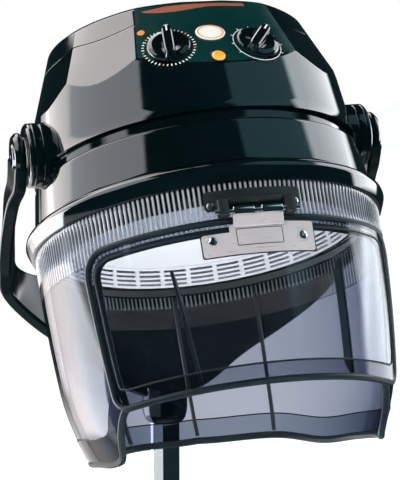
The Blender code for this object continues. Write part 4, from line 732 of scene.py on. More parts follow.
def bead(path, radius, count=8, closed=True):
    """A round bead that follows a path of points; an open one is squared to the path and capped."""
    rings = []
    last = len(path) - 1
    for i, point in enumerate(path):
        ahead, behind = (i + 1) % (last + 1), i - 1
        if not closed:
            ahead, behind = min(i + 1, last), max(i - 1, 0)
        tangent = (path[ahead] - path[behind]).normalized()
        out = Vector((point.x, point.y, 0.0)).normalized()
        across = tangent.cross(out).normalized()
        if not closed:
            out = across.cross(tangent).normalized()
        turns = [2.0 * math.pi * k / count for k in range(count)]
        rings.append([point + (out * math.cos(t) + across * math.sin(t)) * radius for t in turns])
    return loft(rings, closed=closed, caps=not closed)


def at_azimuth(radius, degrees, level):
    angle = math.radians(degrees)
    return Vector((radius * math.sin(angle), -radius * math.cos(angle), level))


def spread(low, high, count):
    return [low + (high - low) * i / count for i in range(count + 1)]


def mirrored(points):
    return [Vector((-p.x, p.y, p.z)) for p in points]


def smooth_path(points, per_step):
    """Points along a smooth curve through the given points."""
    padded = [points[0] * 2 - points[1]] + points + [points[-1] * 2 - points[-2]]
    made = []
    for a, b, c, d in zip(padded, padded[1:], padded[2:], padded[3:]):
        for i in range(per_step):
            t = i / per_step
            bend = (a * 2 - b * 5 + c * 4 - d) * t * t
            made.append((b * 2 + (c - a) * t + bend + (b * 3 - a - c * 3 + d) * t**3) * 0.5)
    made.append(points[-1])
    return made


def softened(obj, width, degrees=None, segments=3):
    """Rounds the edges that turn by more than an angle or, without one, the edges that have a weight."""
    bevel = obj.modifiers.new("rounding", "BEVEL")
    bevel.width = width
    bevel.segments = segments
    bevel.limit_method = "WEIGHT" if degrees is None else "ANGLE"
    bevel.angle_limit = math.radians(degrees or 0.0)
    bevel.harden_normals = True


# Casings


def along_table(segments, azimuth):
    """Value at an angle from the front, on a smooth curve within each segment; both sides are alike."""
    away = abs((azimuth + 180.0) % 360.0 - 180.0)
    for rows in segments:
        if away <= rows[-1][0] + 1e-6:
            break
    slopes = [(b[1] - a[1]) / (b[0] - a[0]) for a, b in zip(rows, rows[1:])]
    tangents = [slopes[0]] + [(a + b) / 2.0 for a, b in zip(slopes, slopes[1:])] + [slopes[-1]]
    for k, ((a1, v1), (a2, v2)) in enumerate(zip(rows, rows[1:])):
        if away <= a2 + 1e-6:
            break
    span = a2 - a1
    t = (away - a1) / span
    return (
        v1 * (1.0 + 2.0 * t) * (1.0 - t) ** 2 + tangents[k] * span * t * (1.0 - t) ** 2
        + v2 * t * t * (3.0 - 2.0 * t) + tangents[k + 1] * span * t * t * (t - 1.0)
    )


def cone_radius(level):
    return SEAM_R - CONE_TAPER * (level - SEAM_LEVEL)


def crease_point(azimuth):
    level = along_table(CREASE_LEVELS, azimuth)
    return at_azimuth(cone_radius(level), azimuth, level)


def top_point(azimuth):
    rise = TOP_RISE * (1.0 - math.cos(math.radians(azimuth))) / 2.0
    return at_azimuth(cone_radius(CASE_BOTTOM) - along_table(TOP_INSETS, azimuth), azimuth, TOP_LEVEL + rise)


def facet_turns(corners):
    """Angles of a ring's points, from the middle of the front round the right and the left side."""
    right = []
    for start, end, count in zip(corners, corners[1:], FACET_STEPS):
        right += spread(start, end, count)[:-1]
    return right + [180.0] + [360.0 - a for a in reversed(right[1:])]


def corner_places():
    """Numbers of the ring's points that lie on the facets' corners."""
    places = [sum(FACET_STEPS[:k]) for k in range(1, len(FACET_STEPS))]
    return places + [2 * sum(FACET_STEPS) - p for p in places]


def mixed(first, second, share):
    return [a.lerp(b, share) for a, b in zip(first, second)]


def inset_ring(ring, inset, drop=0.0):
    """The ring drawn in towards the axis and lowered."""
    made = []
    for p in ring:
        flat = Vector((p.x, p.y, 0.0)) * (1.0 - inset / math.hypot(p.x, p.y))
        made.append(flat + Vector((0.0, 0.0, p.z - drop)))
    return made


def upper_casing():
    """The tapered casing with its faceted crown, the cap's seam and the vents at the rear."""
    lower = facet_turns(CREASE_CORNERS)
    foot = cone_radius(CASE_BOTTOM)
    crease = [crease_point(a) for a in lower]
    top = [top_point(a) for a in facet_turns(TOP_CORNERS)]
    bottom = [at_azimuth(foot, a, CASE_BOTTOM) for a in lower]
    inner = [inset_ring(bottom, WALL), inset_ring(crease, WALL * 1.2), inset_ring(top, WALL * 1.3, WALL)]
    share, level = CROWN_CAP[-1]
    inner.append([Vector((p.x * share, p.y * share, level - WALL)) for p in top])
    cone = [[at_azimuth(foot + CASE_FLARE, a, CASE_BOTTOM) for a in lower]]
    cone += [mixed(bottom, crease, share) for share in spread(CONE_START, 1.0, 8)]
    low, groove_low, groove_high, high = CAP_SEAM
    facets = [mixed(crease, top, share) for share in (0.03, 0.34, low - SEAM_HOLD, low)]
    facets += [inset_ring(mixed(crease, top, share), SEAM_DEPTH) for share in (groove_low, groove_high)]
    facets += [mixed(crease, top, share) for share in (high, high + SEAM_HOLD, 0.97)] + [top]
    crown = [[Vector((p.x * share, p.y * share, p.z + rise)) for p in top] for share, rise in CROWN_RINGS]
    crown += [[Vector((p.x * share, p.y * share, level)) for p in top] for share, level in CROWN_CAP]
    shape = loft(inner[::-1] + cone + facets + crown, caps=True)
    shell = piece("casing_upper", shape, BLACK, "hood", ["upper_casing"], sharp=60.0)
    first = len(inner) + len(cone) - 1
    crisp_edges(shell, facet_edges(len(crease), first, first + len(facets)))
    rear = crease_point(180.0)
    slots = [cuboid(VENT_SIZE, (0.0, rear.y, rear.z + (k + 1) * VENT_PITCH)) for k in range(VENTS)]
    cut_away(shell, merged(slots)[0])


def facet_edges(count, first, last):
    """Pairs of vertex numbers along the crease, the top edge and the upright corners between them."""
    pairs = []
    for ring in (first, last):
        pairs += [(ring * count + i, ring * count + (i + 1) % count) for i in range(count)]
    for corner in corner_places():
        pairs += [(ring * count + corner, (ring + 1) * count + corner) for ring in range(first, last)]
    return pairs


def crisp_edges(obj, pairs):
    """Rounds the named edges tightly and leaves the rest of the shell smooth."""
    wanted = {tuple(sorted(pair)) for pair in pairs}
    weights = obj.data.attributes.new("bevel_weight_edge", "FLOAT", "EDGE")
    for edge in obj.data.edges:
        if tuple(sorted(edge.vertices)) in wanted:
            weights.data[edge.index].value = 1.0
    softened(obj, EDGE_ROUND)


def cut_away(obj, shape):
    """Takes a mesh in the hood's frame out of an object, for good."""
    data = bpy.data.meshes.new("cutter")
    data.from_pydata([tuple(v) for v in shape[0]], [], shape[1])
    tool = placed("cutter", data)
    tool.matrix_world = HOOD
    bpy.context.view_layer.update()
    cut = obj.modifiers.new("slots", "BOOLEAN")
    cut.operation = "DIFFERENCE"
    cut.solver = "EXACT"
    cut.object = tool
    graph = bpy.context.evaluated_depsgraph_get()
    made = bpy.data.meshes.new_from_object(obj.evaluated_get(graph))
    obj.modifiers.clear()
    obj.data = made
    bpy.data.objects.remove(tool)


def lower_casing():
    band = cone_radius(BAND_TOP)
    neck_top = CASE_BOTTOM + NECK_RISE
    foot = SEAM_LEVEL + SEAM_GAP
    outline = [
        (SEAM_R, foot), (band, BAND_TOP), (band - 0.0025, BAND_TOP + 0.0022), (NECK_R, BAND_TOP + 0.0024),
        (NECK_R, neck_top), (NECK_R - WALL, neck_top), (NECK_R - WALL, BAND_TOP - 0.001),
        (band - 0.005, BAND_TOP - 0.004), (SEAM_R - WALL, foot),
    ]
    shape = lathe(held(rounded(outline, 0.0012)))
    piece("casing_lower", shape, BLACK, "hood", ["lower_casing"])


def rim_ring():
    lip_outer = RIM_LIP_R + WALL
    outline = [
        (SEAM_R + 0.0002, SEAM_LEVEL), (SEAM_R + 0.0068, SEAM_LEVEL - 0.0026),
        (RIM_R - 0.0012, RIM_LEVEL + 0.0048), (RIM_R, RIM_LEVEL), (RIM_R - 0.0022, RIM_LEVEL - 0.0060),
        (SKIRT_TOP_R + 0.0032, RIM_UNDER), (lip_outer, RIM_UNDER), (lip_outer, RIM_LIP), (RIM_LIP_R, RIM_LIP),
        (RIM_LIP_R, SEAM_LEVEL - 0.004), (SEAM_R - 0.006, SEAM_LEVEL - 0.002),
    ]
    piece("rim_bead", lathe(held(rounded(outline, 0.0014))), BLACK, "hood", ["rim_ring"])


# Dome


def dome_point(degrees, elevation, inset):
    """A point of the half ball under the casing, by azimuth and by angle up from its open rim."""
    lift = math.radians(elevation)
    radius = (DOME_R - inset) * math.cos(lift)
    return at_azimuth(radius, degrees, DOME_BOTTOM + (DOME_RISE - inset) * math.sin(lift))


def dome_ring(level, inset, count=ROUND):
    return [dome_point(360.0 * i / count, level, inset) for i in range(count)]


def air_ring():
    """The rim of the dome, pierced by rows of slots between radial bars, with a pale baffle behind them."""
    pitch = 360.0 / SLOT_COLUMNS
    half = pitch * SLOT_WIDE / 2.0
    columns = [k * pitch + half * s for k in range(SLOT_COLUMNS) for s in SLOT_POINTS]
    row = AIR_RING_END / (SLOT_ROWS + ROW_SPARE)
    levels = [0.0]
    for k in range(SLOT_ROWS):
        start = row * (ROW_START + k)
        levels += [start, start + row * SLOT_TALL]
    levels.append(AIR_RING_END)
    count = len(columns)
    wide = len(SLOT_POINTS)
    verts = [dome_point(a, level, inset) for inset in (0.0, DOME_WALL) for level in levels for a in columns]
    layer = len(levels) * count
    last = layer - count
    faces = []
    for i in range(count):
        j = (i + 1) % count
        faces += [(i, i + layer, j + layer, j), (last + i, last + j, last + j + layer, last + i + layer)]
        for k in range(len(levels) - 1):
            a, b, c, d = k * count + i, k * count + j, (k + 1) * count + j, (k + 1) * count + i
            if k % 2 == 0 or i % wide == wide - 1:
                faces += [(a, b, c, d), (a + layer, d + layer, c + layer, b + layer)]
                continue
            faces += [(a, b, b + layer, a + layer), (d, d + layer, c + layer, c)]
            if i % wide == 0:
                faces.append((a, a + layer, d + layer, d))
            if i % wide == wide - 2:
                faces.append((b, c, c + layer, b + layer))
    near, far = -BAFFLE_GAP, -BAFFLE_GAP - BAFFLE_WALL
    corners = ((levels[1], near), (levels[-2], near), (levels[-2], far), (levels[1], far))
    baffle = loft([dome_ring(level, inset, BAFFLE_POINTS) for level, inset in corners], closed=True)
    shape, starts = merged([(verts, faces), baffle])
    piece("air_slots", shape, WHITE, "hood", ["air_ring"], sharp=50.0,
          groups=[(BAFFLE, range(starts[1], starts[2]))])


def inner_dome():
    levels = spread(AIR_RING_END + DOME_START, DOME_END, DOME_RINGS)
    rings = [dome_ring(level, DOME_WALL) for level in reversed(levels)]
    rings += [dome_ring(level, 0.0) for level in levels]
    piece("dome_bowl", loft(rings, caps=True), WHITE, "hood", ["inner_dome"])


# Skirt


def wall_radius(level):
    """Outer radius of the skirt in the CAD: almost upright over the flutes, then drawn in."""
    if level > SKIRT_WAIST:
        share = max(0.0, (level - RIM_UNDER) / (SKIRT_WAIST - RIM_UNDER))
        return SKIRT_TOP_R + (SKIRT_WAIST_R - SKIRT_TOP_R) * share
    drop = SKIRT_WAIST - level
    return SKIRT_WAIST_R - SKIRT_TAPER * drop - SKIRT_CURVE * drop * drop


def skirt_radius(level):
    """The same wall, with the lobes at its foot curved further in as in the photo."""
    return wall_radius(level) - BOWL * max(0.0, BOWL_TOP - level) ** 2


def skirt_bottom(degrees):
    """Lower edge of the skirt: deep lobes beside the opening, rising towards the back."""
    return along_table(HEM_LEVELS, degrees)


def corner_cut(radius, away):
    """What a rounded corner takes off a width, at a distance from the edge it ends in."""
    rise = radius - min(radius, max(away, 0.0))
    return radius - math.sqrt(max(0.0, radius * radius - rise * rise))


def opening_half(level):
    """Half width of the front opening, with its upper corners rounded."""
    return OPENING_HALF - math.degrees(corner_cut(OPENING_CORNER, OPENING_TOP - level) / skirt_radius(level))


def flute(degrees, level):
    """Depth of the flutes at a place, faded out at both ends of the fluted band."""
    if level > FLUTE_TOP or level < FLUTE_BOTTOM:
        return 0.0
    ends = min(1.0, (FLUTE_TOP - level) / FLUTE_FADE, (level - FLUTE_BOTTOM) / FLUTE_FADE)
    phase = degrees / 360.0 * FLUTES
    return FLUTE_DEPTH * ends * (0.5 - 0.5 * math.cos(2.0 * math.pi * phase))


def skirt_band():
    """The fluted upper band all round, down to the head of the front opening."""
    count = FLUTES * FLUTE_POINTS
    turns = [360.0 * i / count for i in range(count)]
    levels = [RIM_UNDER - SEAM_GAP, FLUTE_TOP, FLUTE_TOP - FLUTE_FADE / 2.0, FLUTE_TOP - FLUTE_FADE]
    levels += spread(FLUTE_TOP - FLUTE_RUN, FLUTE_BOTTOM + FLUTE_FADE, 4)
    levels += [FLUTE_BOTTOM + FLUTE_FADE / 2.0, FLUTE_BOTTOM]
    levels += [SKIRT_WAIST, OPENING_TOP + OPENING_HOLD, OPENING_TOP]
    rings = [[at_azimuth(skirt_radius(z) - flute(a, z), a, z) for a in turns] for z in levels]
    for z in (levels[-1], levels[0]):
        rings.append([at_azimuth(skirt_radius(z) - SKIRT_WALL, a, z) for a in turns])
    return loft(rings, closed=True)


def skirt_row(offset, level_of):
    """A line of the wall round the back, from one side of the opening to the other."""
    row = []
    for share in spread(0.0, 1.0, WALL_STEPS):
        degrees = OPENING_HALF + (360.0 - 2.0 * OPENING_HALF) * share
        for _ in range(2):
            level = level_of(degrees)
            half = opening_half(level)
            degrees = half + (360.0 - 2.0 * half) * share
        row.append(at_azimuth(skirt_radius(level) + offset, degrees, level))
    return row


def skirt_wall():
    """The wall under the band, with the numbers of its inner faces and of its hem's outer faces."""
    head = OPENING_TOP - CORNER_DROPS[-1]

    def at_drop(drop):
        return lambda a: OPENING_TOP - drop

    def at_share(share):
        return lambda a: head + (skirt_bottom(a) + HEM_HEIGHT - head) * share

    def at_hem(height):
        return lambda a: skirt_bottom(a) + height

    upper = [at_drop(drop) for drop in CORNER_DROPS] + [at_share(share) for share in WALL_SHARES]
    hem = [at_hem(HEM_HEIGHT), at_hem(HEM_MIDDLE), at_hem(HEM_FOOT)]
    outer = [skirt_row(0.0, line) for line in upper + [at_hem(HEM_HEIGHT + HEM_TURN)]]
    outer += [skirt_row(HEM_STEP, line) for line in hem]
    inner = [skirt_row(-SKIRT_WALL, line) for line in [hem[2], hem[0]] + upper[::-1]]
    rings = [list(ring) for ring in zip(*outer, *inner)]
    around = len(rings[0])

    def faces_of(first, last):
        return [c * around + k for c in range(len(rings) - 1) for k in range(first, last)]

    foot = len(outer)
    return loft(rings, caps=True), faces_of(foot, around - 1), faces_of(foot - len(hem), foot - 1)


def opening_edge():
    """The whole free edge of the skirt: head of the front opening, its sides and the lower hem."""

    def at(degrees, level):
        return at_azimuth(skirt_radius(level) - SKIRT_WALL / 2.0, degrees, level)

    head = [at(a, OPENING_TOP) for a in spread(0.0, opening_half(OPENING_TOP), 40)]
    turns = [1.0 - math.cos(math.radians(t)) for t in (15, 30, 45, 60, 75, 90)]
    levels = [OPENING_TOP - OPENING_CORNER * turn for turn in turns]
    levels += spread(levels[-1], skirt_bottom(OPENING_HALF) + EDGE_STOP, 16)[1:]
    side = [at(opening_half(z), z) for z in levels]
    hem = [at(a, skirt_bottom(a) + EDGE_LIFT) for a in spread(OPENING_HALF + 1.0, 180.0, 130)]
    right = head + side + hem
    return right + mirrored(right[-2:0:-1])


def hem_line():
    """The fine dark line along the top of the hem."""
    path = []
    for degrees in spread(HEM_LINE, 360.0 - HEM_LINE, 200):
        level = skirt_bottom(degrees) + HEM_HEIGHT
        path.append(at_azimuth(skirt_radius(level) + HEM_STEP * 0.5, degrees, level))
    return bead(path, HEM_LINE_R, 6, closed=False)


def skirt():
    """The smoked skirt: fluted band, wall with its hem, rolled edge and hem line."""
    wall, inside, hem = skirt_wall()
    shape, starts = merged([skirt_band(), wall, bead(opening_edge(), EDGE_BEAD), hem_line()])
    groups = [(FLUTED, range(starts[1])), (EDGE, range(starts[2], starts[-1]))]
    for look, chosen in ((INSIDE, inside), (HEM, hem)):
        groups.append((look, [starts[1] + face for face in chosen]))
    piece("skirt_shell", shape, SMOKE, "hood", ["skirt"], groups=groups)


def bar_section(radius, width, depth, degrees, level, taper=1.0):
    """Four corners of an upright bar that stands inwards from a wall."""
    half = math.degrees(width / 2.0 / radius)
    inner = radius - depth
    corners = ((radius, -half), (radius, half), (inner, half * taper), (inner, -half * taper))
    return [at_azimuth(r, degrees + a, level) for r, a in corners]


def skirt_struts():
    """Upright stiffening bars inside the skirt: three at the back, a short one behind the hinge."""
    for number, degrees in enumerate(STRUTS_AT, start=1):
        low = OPENING_TOP + STRUT_STOP if degrees < OPENING_HALF else skirt_bottom(degrees) + STRUT_FOOT
        rings = []
        for level in spread(RIM_UNDER - STRUT_HEAD, low, 16):
            radius = skirt_radius(level) - SKIRT_WALL - STRUT_CLEAR
            rings.append(bar_section(radius, STRUT_WIDTH, STRUT_DEPTH, degrees, level, STRUT_TAPER))
        shape = loft(rings, caps=True)
        bar = piece(f"skirt_bar_{number}", shape, SATIN, "hood", [f"skirt_strut_{number}"])
        softened(bar, STRUT_ROUND, BAR_TURN)


# Visor


def flap_radius(level):
    return wall_radius(level) + FLAP_CLEAR


def flap_edge(across, down, corner_top, corner_low, grow=0.0):
    """Azimuth and level of a point of the visor, with rounded upper and lower corners.

    across runs from -1 to 1 and down from 0 to 1; grow draws the outline in by a length.
    """
    top = FLAP_TOP - grow
    low = FLAP_BOTTOM + grow
    level = top + (low - top) * down
    share = (level - FLAP_TOP) / (FLAP_BOTTOM - FLAP_TOP)
    half = FLAP_HALF_TOP + (FLAP_HALF_BOTTOM - FLAP_HALF_TOP) * share - math.degrees(grow / SKIRT_WAIST_R)
    for corner, height in ((corner_top, top - level), (corner_low, level - low)):
        half -= math.degrees(corner_cut(corner, height) / flap_radius(level))
    return half * across, level


def flap_rows():
    """Shares of the height, close together where the corners turn."""
    span = FLAP_TOP - FLAP_BOTTOM
    turns = [1.0 - math.cos(math.radians(t)) for t in (0, 12, 24, 36, 48, 60, 75, 90)]
    high = [FLAP_SHOULDER / span * t for t in turns]
    low = [1.0 - FLAP_CORNER / span * t for t in reversed(turns)]
    return high + spread(high[-1], low[0], 9)[1:-1] + low


def visor_flap():
    """The curved visor: a clear wall with a raised border line, a darker hem and a dark rolled edge."""
    hem = 1.0 - FLAP_HEM / (FLAP_TOP - FLAP_BOTTOM)
    rows = sorted(flap_rows() + [hem])
    columns = spread(-1.0, 1.0, 48)
    outer, inner = [], []
    for down in rows:
        line = [flap_edge(across, down, FLAP_SHOULDER, FLAP_CORNER) for across in columns]
        outer.append([at_azimuth(flap_radius(z) + FLAP_WALL, a, z) for a, z in line])
        inner.append([at_azimuth(flap_radius(z), a, z) for a, z in line])
    wall, border = plate_between(outer, inner)
    points = wall[0]
    layer = len(rows) * len(columns)
    rim = bead([points[i] * 0.2 + points[i + layer] * 0.8 for i in border], EDGE_BEAD * 0.9)
    shape, starts = merged([wall, rim, bead(flap_loop(), BORDER_BEAD)])
    banded = [2 * row * (len(columns) - 1) for row in (rows.index(hem), len(rows) - 1)]
    groups = [(EDGE, range(starts[1], starts[-1])), (BAND, range(*banded))]
    piece("visor_shell", shape, CLEAR, "visor", ["visor_flap"], groups=groups)


def flap_loop():
    """The line of the raised border, all round inside the visor's edge."""
    columns, rows = spread(-1.0, 1.0, 60), spread(0.0, 1.0, 40)
    tighter = FLAP_BORDER * BORDER_TIGHTER

    def point(across, down):
        a, z = flap_edge(across, down, FLAP_SHOULDER - tighter, FLAP_CORNER - tighter, FLAP_BORDER)
        z += (FLAP_HEM - FLAP_BORDER) * max(0.0, (down - BORDER_LIFTS) / (1.0 - BORDER_LIFTS))
        return at_azimuth(flap_radius(z) + FLAP_WALL, a, z)

    path = [point(x, 0.0) for x in columns] + [point(1.0, y) for y in rows[1:]]
    return path + [point(x, 1.0) for x in columns[-2::-1]] + [point(-1.0, y) for y in rows[-2:0:-1]]


def flap_ribs():
    """Two upright dark blades inside the visor."""
    for side, (head, foot) in RIBS_AT.items():
        rings = []
        for k, level in enumerate(spread(RIB_TOP, FLAP_BOTTOM + RIB_FOOT, RIB_STEPS)):
            share = k / RIB_STEPS
            deep = RIB_DEPTH * min(1.0, RIB_END + RIB_SLOPE * min(share, 1.0 - share))
            radius = flap_radius(level) - RIB_CLEAR
            rings.append(bar_section(radius, RIB_WIDTH, deep, head + (foot - head) * share, level))
        shape = loft(rings, caps=True)
        rib = piece(f"visor_rib_{side}", shape, EDGE, "visor", [f"flap_strut_{side}"])
        softened(rib, RIB_ROUND, BAR_TURN)


# Hinge


def bent_plate(plate, inner):
    """A plate with rounded corners, wrapped round a wall whose radius inner gives by level."""
    half, top, low, thick, corner, middle = plate
    outside, inside = [], []
    for k in range(PLATE_ROWS + 1):
        level = top + (low - top) * (0.5 - 0.5 * math.cos(math.pi * k / PLATE_ROWS))
        reach = half
        for height in (top - level, level - low):
            reach -= math.degrees(corner_cut(corner, height) / inner(level))
        turns = spread(middle - reach, middle + reach, PLATE_COLUMNS)
        outside.append([at_azimuth(inner(level) + thick, a, level) for a in turns])
        inside.append([at_azimuth(inner(level), a, level) for a in turns])
    return plate_between(outside, inside)[0]


def screws(group, wall):
    """Domed screw heads with a cross on them, standing on a curved wall."""
    places, level, over, head, rise = group
    dome = [(head, 0.0), (head, rise * 0.3), (head * 0.55, rise * 0.62), (0.0008, rise * 0.66)]
    dome = rod([(TIP, 0.0)] + rounded(dome, 0.0006, 3, closed=False), 28)
    bar = cuboid((head * 1.25, head * 0.22, 0.0005), (0.0, 0.0, rise * 0.62))
    bars = [turned_to(bar, Matrix.Rotation(turn, 4, "Z")) for turn in (0.5, 0.5 + math.pi / 2.0)]
    parts = []
    for degrees in places:
        place = Matrix.Translation(at_azimuth(wall(level) + over, degrees, level)) @ outward_frame(degrees)
        parts += [turned_to(part, place) for part in [dome] + bars]
    return parts


def outward_frame(degrees):
    """Rotation that turns +Z to the outside of the hood at an azimuth, with Y upwards."""
    out = at_azimuth(1.0, degrees, 0.0)
    up = Vector((0.0, 0.0, 1.0))
    return Matrix((up.cross(out), up, out)).transposed().to_4x4()


def on_skirt(level):
    return skirt_radius(level) + ON_SKIRT


def on_flap(level):
    return flap_radius(level) + FLAP_WALL + ON_FLAP


def under_leaf(level):
    return on_flap(level) - UNDER_LEAF


def by_pin(across, behind, above):
    """A place given from the middle of the hinge pin."""
    return across, -HINGE_OUT + behind, HINGE_LEVEL + above


def hinge():
    """Fixed black bracket with its pin, and the light plate on the visor with its two chrome rollers."""
    near, far = LUG_SPAN
    cradle = [bent_plate(BRACKET_PLATE, on_skirt), cuboid(COVER_SIZE, by_pin(0.0, *COVER_AT), 0.0016)]
    for side in (-1.0, 1.0):
        place = by_pin(side * (near + far) / 2.0, *LUG_AT)
        cradle.append(cuboid((far - near - LUG_GAP, LUG_DEEP, LUG_TALL), place, 0.0015))
    shape, starts = merged(cradle + screws(BRACKET_SCREWS, skirt_radius))
    piece("hinge_cradle", shape, SATIN, "hood", ["hinge_bracket"],
          groups=[(STEEL, range(starts[len(cradle)], starts[-1]))])

    along = Matrix.Translation(by_pin(0.0, 0.0, 0.0)) @ ON_SIDE
    pin = rod([(PIN_R, -PIN_HALF), (PIN_R, PIN_HALF)], 32)
    piece("hinge_axle", turned_to(pin, along), CHROME, "hood", ["hinge_pin"])

    bore = PIN_R + PIN_CLEAR
    outline = [(bore, -BARREL_HALF), (BARREL_R, -BARREL_HALF), (BARREL_R, BARREL_HALF), (bore, BARREL_HALF)]
    roller = lathe(rounded(outline, 0.0012), 40)
    bright = [turned_to(roller, along @ Matrix.Translation((0.0, 0.0, z))) for z in (-BARREL_AT, BARREL_AT)]
    bright += screws(LEAF_SCREWS, on_flap)
    lean = Matrix.Translation(by_pin(0.0, *LEAF_AT)) @ Matrix.Rotation(LEAF_LEAN, 4, "X")
    pale = [bent_plate(LEAF_PLATE, on_flap), bent_plate(WING_PLATE, on_flap)]
    pale.append(turned_to(cuboid(LEAF_SIZE, edge=0.0008), lean))
    # The pressed frame's dark satin beads are painted shade lines along its edges
    dark = [bent_plate(UNDER_PLATE, under_leaf), pressed_frame_shade_lines()]
    shape, starts = merged(pale + dark + bright)
    first_dark, first_bright = starts[len(pale)], starts[len(pale + dark)]
    piece("hinge_leaf", shape, ALLOY, "visor", ["hinge_plate"],
          groups=[(CHROME, range(first_bright, starts[-1])), (SATIN, range(first_dark, first_bright))])


def pressed_frame_shade_lines():
    """The low raised rectangle pressed into the plate, drawn as dark beads that are painted shade lines along its
    edges.
    """
    half, top, low = PRESSED
    path = [(a, top) for a in spread(-half, half, 16)] + [(half, z) for z in spread(top, low, 6)[1:]]
    path += [(a, low) for a in spread(half, -half, 16)[1:]] + [(-half, z) for z in spread(low, top, 6)[1:-1]]
    return bead([at_azimuth(on_flap(z) + PRESSED_LIFT, a, z) for a, z in path], PRESSED_SHADE_BEAD)


# Controls


def panel_point(span, rise):
    """A point of the front facet: span runs from its left to its right corner, rise from crease to top."""
    across = 2.0 * span - 1.0
    return crease_point(CREASE_CORNERS[1] * across).lerp(top_point(TOP_CORNERS[1] * across), rise)


def panel_normal(span, rise):
    step = 0.004
    across = panel_point(span + step, rise) - panel_point(span - step, rise)
    up = panel_point(span, rise + step) - panel_point(span, rise - step)
    normal = across.cross(up).normalized()
    return normal if normal.y < 0.0 else -normal


def panel_frame(span, rise):
    """Frame on the panel's face, Z along its normal and Y up the facet."""
    step = 0.01
    normal = panel_normal(span, rise)
    up = panel_point(span, rise + step) - panel_point(span, rise - step)
    side = up.cross(normal).normalized()
    turn = Matrix((side, normal.cross(side), normal)).transposed().to_4x4()
    return Matrix.Translation(panel_point(span, rise) + normal * PANEL_FACE) @ turn


def on_panel(points, lift):
    """Places over the panel's facet, from (span, rise) points."""
    return [panel_point(s, r) + panel_normal(s, r) * lift for s, r in points]


def control_panel():
    spans = spread(*PANEL_SPAN, 48)
    grid = [[(s, r) for s in spans] for r in spread(*PANEL_RISE, 16)]
    outer = [on_panel(row, PANEL_FACE) for row in grid]
    inner = [on_panel(row, PANEL_LIFT) for row in grid]
    piece("panel_plate", plate_between(outer, inner)[0], PANEL, "hood", ["control_panel"])


def dial_mark(place, radius, degrees, wide, tall):
    """A small printed bar on a dial's ring, pointing at the knob's axis."""
    bar = cuboid((wide, tall, PRINT), (0.0, radius, PRINT / 2.0 + PRINT_LIFT), PRINT / 3.0)
    return turned_to(bar, place @ Matrix.Rotation(math.radians(-degrees), 4, "Z"))


def prints():
    """Stripe, dial marks, ring and dot printed on the panel."""
    start, end = STRIPE_SPAN
    foot, head = STRIPE_RISE
    low, high = [], []
    for t in spread(0.0, 1.0, 30):
        span = start + (end - start) * t
        sag = STRIPE_SAG * math.sin(math.pi * min(1.0, t * STRIPE_SWELL) ** STRIPE_POWER)
        low.append((span, foot - sag))
        high.append((span, foot + (head - foot) * min(1.0, t / STRIPE_LEAD)))
    stripe = loft([on_panel(line, PANEL_FACE + PRINT) for line in (low, high)], around=False)
    piece("panel_stripe", stripe, STRIPE, "hood")
    timer, heat = panel_frame(*DIALS["timer"]), panel_frame(*DIALS["heat"])
    white, orange = [], []
    for k in range(TIMER_TICKS):
        chosen = orange if k in TIMER_ACCENTS else white
        tall = TIMER_FIFTH if k % 5 == 0 else TIMER_TALL
        chosen.append(dial_mark(timer, TIMER_RING, 360.0 / TIMER_TICKS * k, TIMER_WIDE, tall))
    inner, outer = HEAT_LINE
    printed = PRINT_LIFT + PRINT
    line = [(inner, PRINT_LIFT), (outer, PRINT_LIFT), (outer, printed), (inner, printed)]
    white.append(turned_to(lathe(line, 96), heat))
    for k in range(HEAT_TICKS):
        white.append(dial_mark(heat, HEAT_RING, HEAT_START + HEAT_STEP * k, *HEAT_TICK))
    piece("dial_marks", merged(white)[0], TICK, "hood")
    orange.append(turned_to(rod([(DOT_R, PRINT_LIFT), (DOT_R, printed)], 40), panel_frame(*DOT)))
    piece("dial_accents", merged(orange)[0], ORANGE, "hood")


def knob(name, turn):
    """A round dial base with a raised finger bar and a white pointer line."""
    place = panel_frame(*DIALS[name]) @ Matrix.Rotation(math.radians(turn), 4, "Z")
    outline = [(KNOB_R - 0.0006, 0.0), (KNOB_R, 0.0020), (KNOB_R - 0.0012, 0.0046), (KNOB_R * 0.72, 0.0068),
               (KNOB_R * 0.36, 0.0050), (TIP, 0.0048)]
    outline = [(r, KNOB_LIFT + z) for r, z in outline]
    base = rod(rounded(outline, 0.0016, 4, closed=False), 72)
    top = KNOB_LIFT + KNOB_HEIGHT
    pointer = cuboid((0.0018, 0.0090, 0.0002), (0.0, KNOB_R - 0.0075, top + 0.0001), 0.00008)
    tip = cuboid((0.0052, 0.0004, 0.0046), (0.0, KNOB_R - 0.0008, top - 0.0036), 0.0001)
    shape, starts = merged([base, knob_bar(KNOB_LIFT + 0.003, top), pointer, tip])
    piece(f"{name}_grip", turned_to(shape, place), BLACK, name, [f"{name}_knob"],
          groups=[(TICK, range(starts[2], starts[-1]))])


def knob_bar(low, high):
    """The finger bar: a block with full corners, wider at its foot and rounded over at the top."""
    levels = [(low, 0.0022), (low + 0.003, 0.0008)]
    levels += [(high - 0.004, 0.0), (high - 0.0012, -0.0003), (high, -0.0016)]
    rings = []
    for level, grow in levels:
        wide, tall = BAR_HALF + grow, KNOB_R - 0.0014 + min(grow, 0.0004)
        rings.append([])
        for c, s, _ in ring_of(1.0, 0.0, 56):
            x = wide * math.copysign(abs(c) ** 0.45, c)
            rings[-1].append((x, tall * math.copysign(abs(s) ** 0.35, s), level))
    return loft(rings, caps=True)


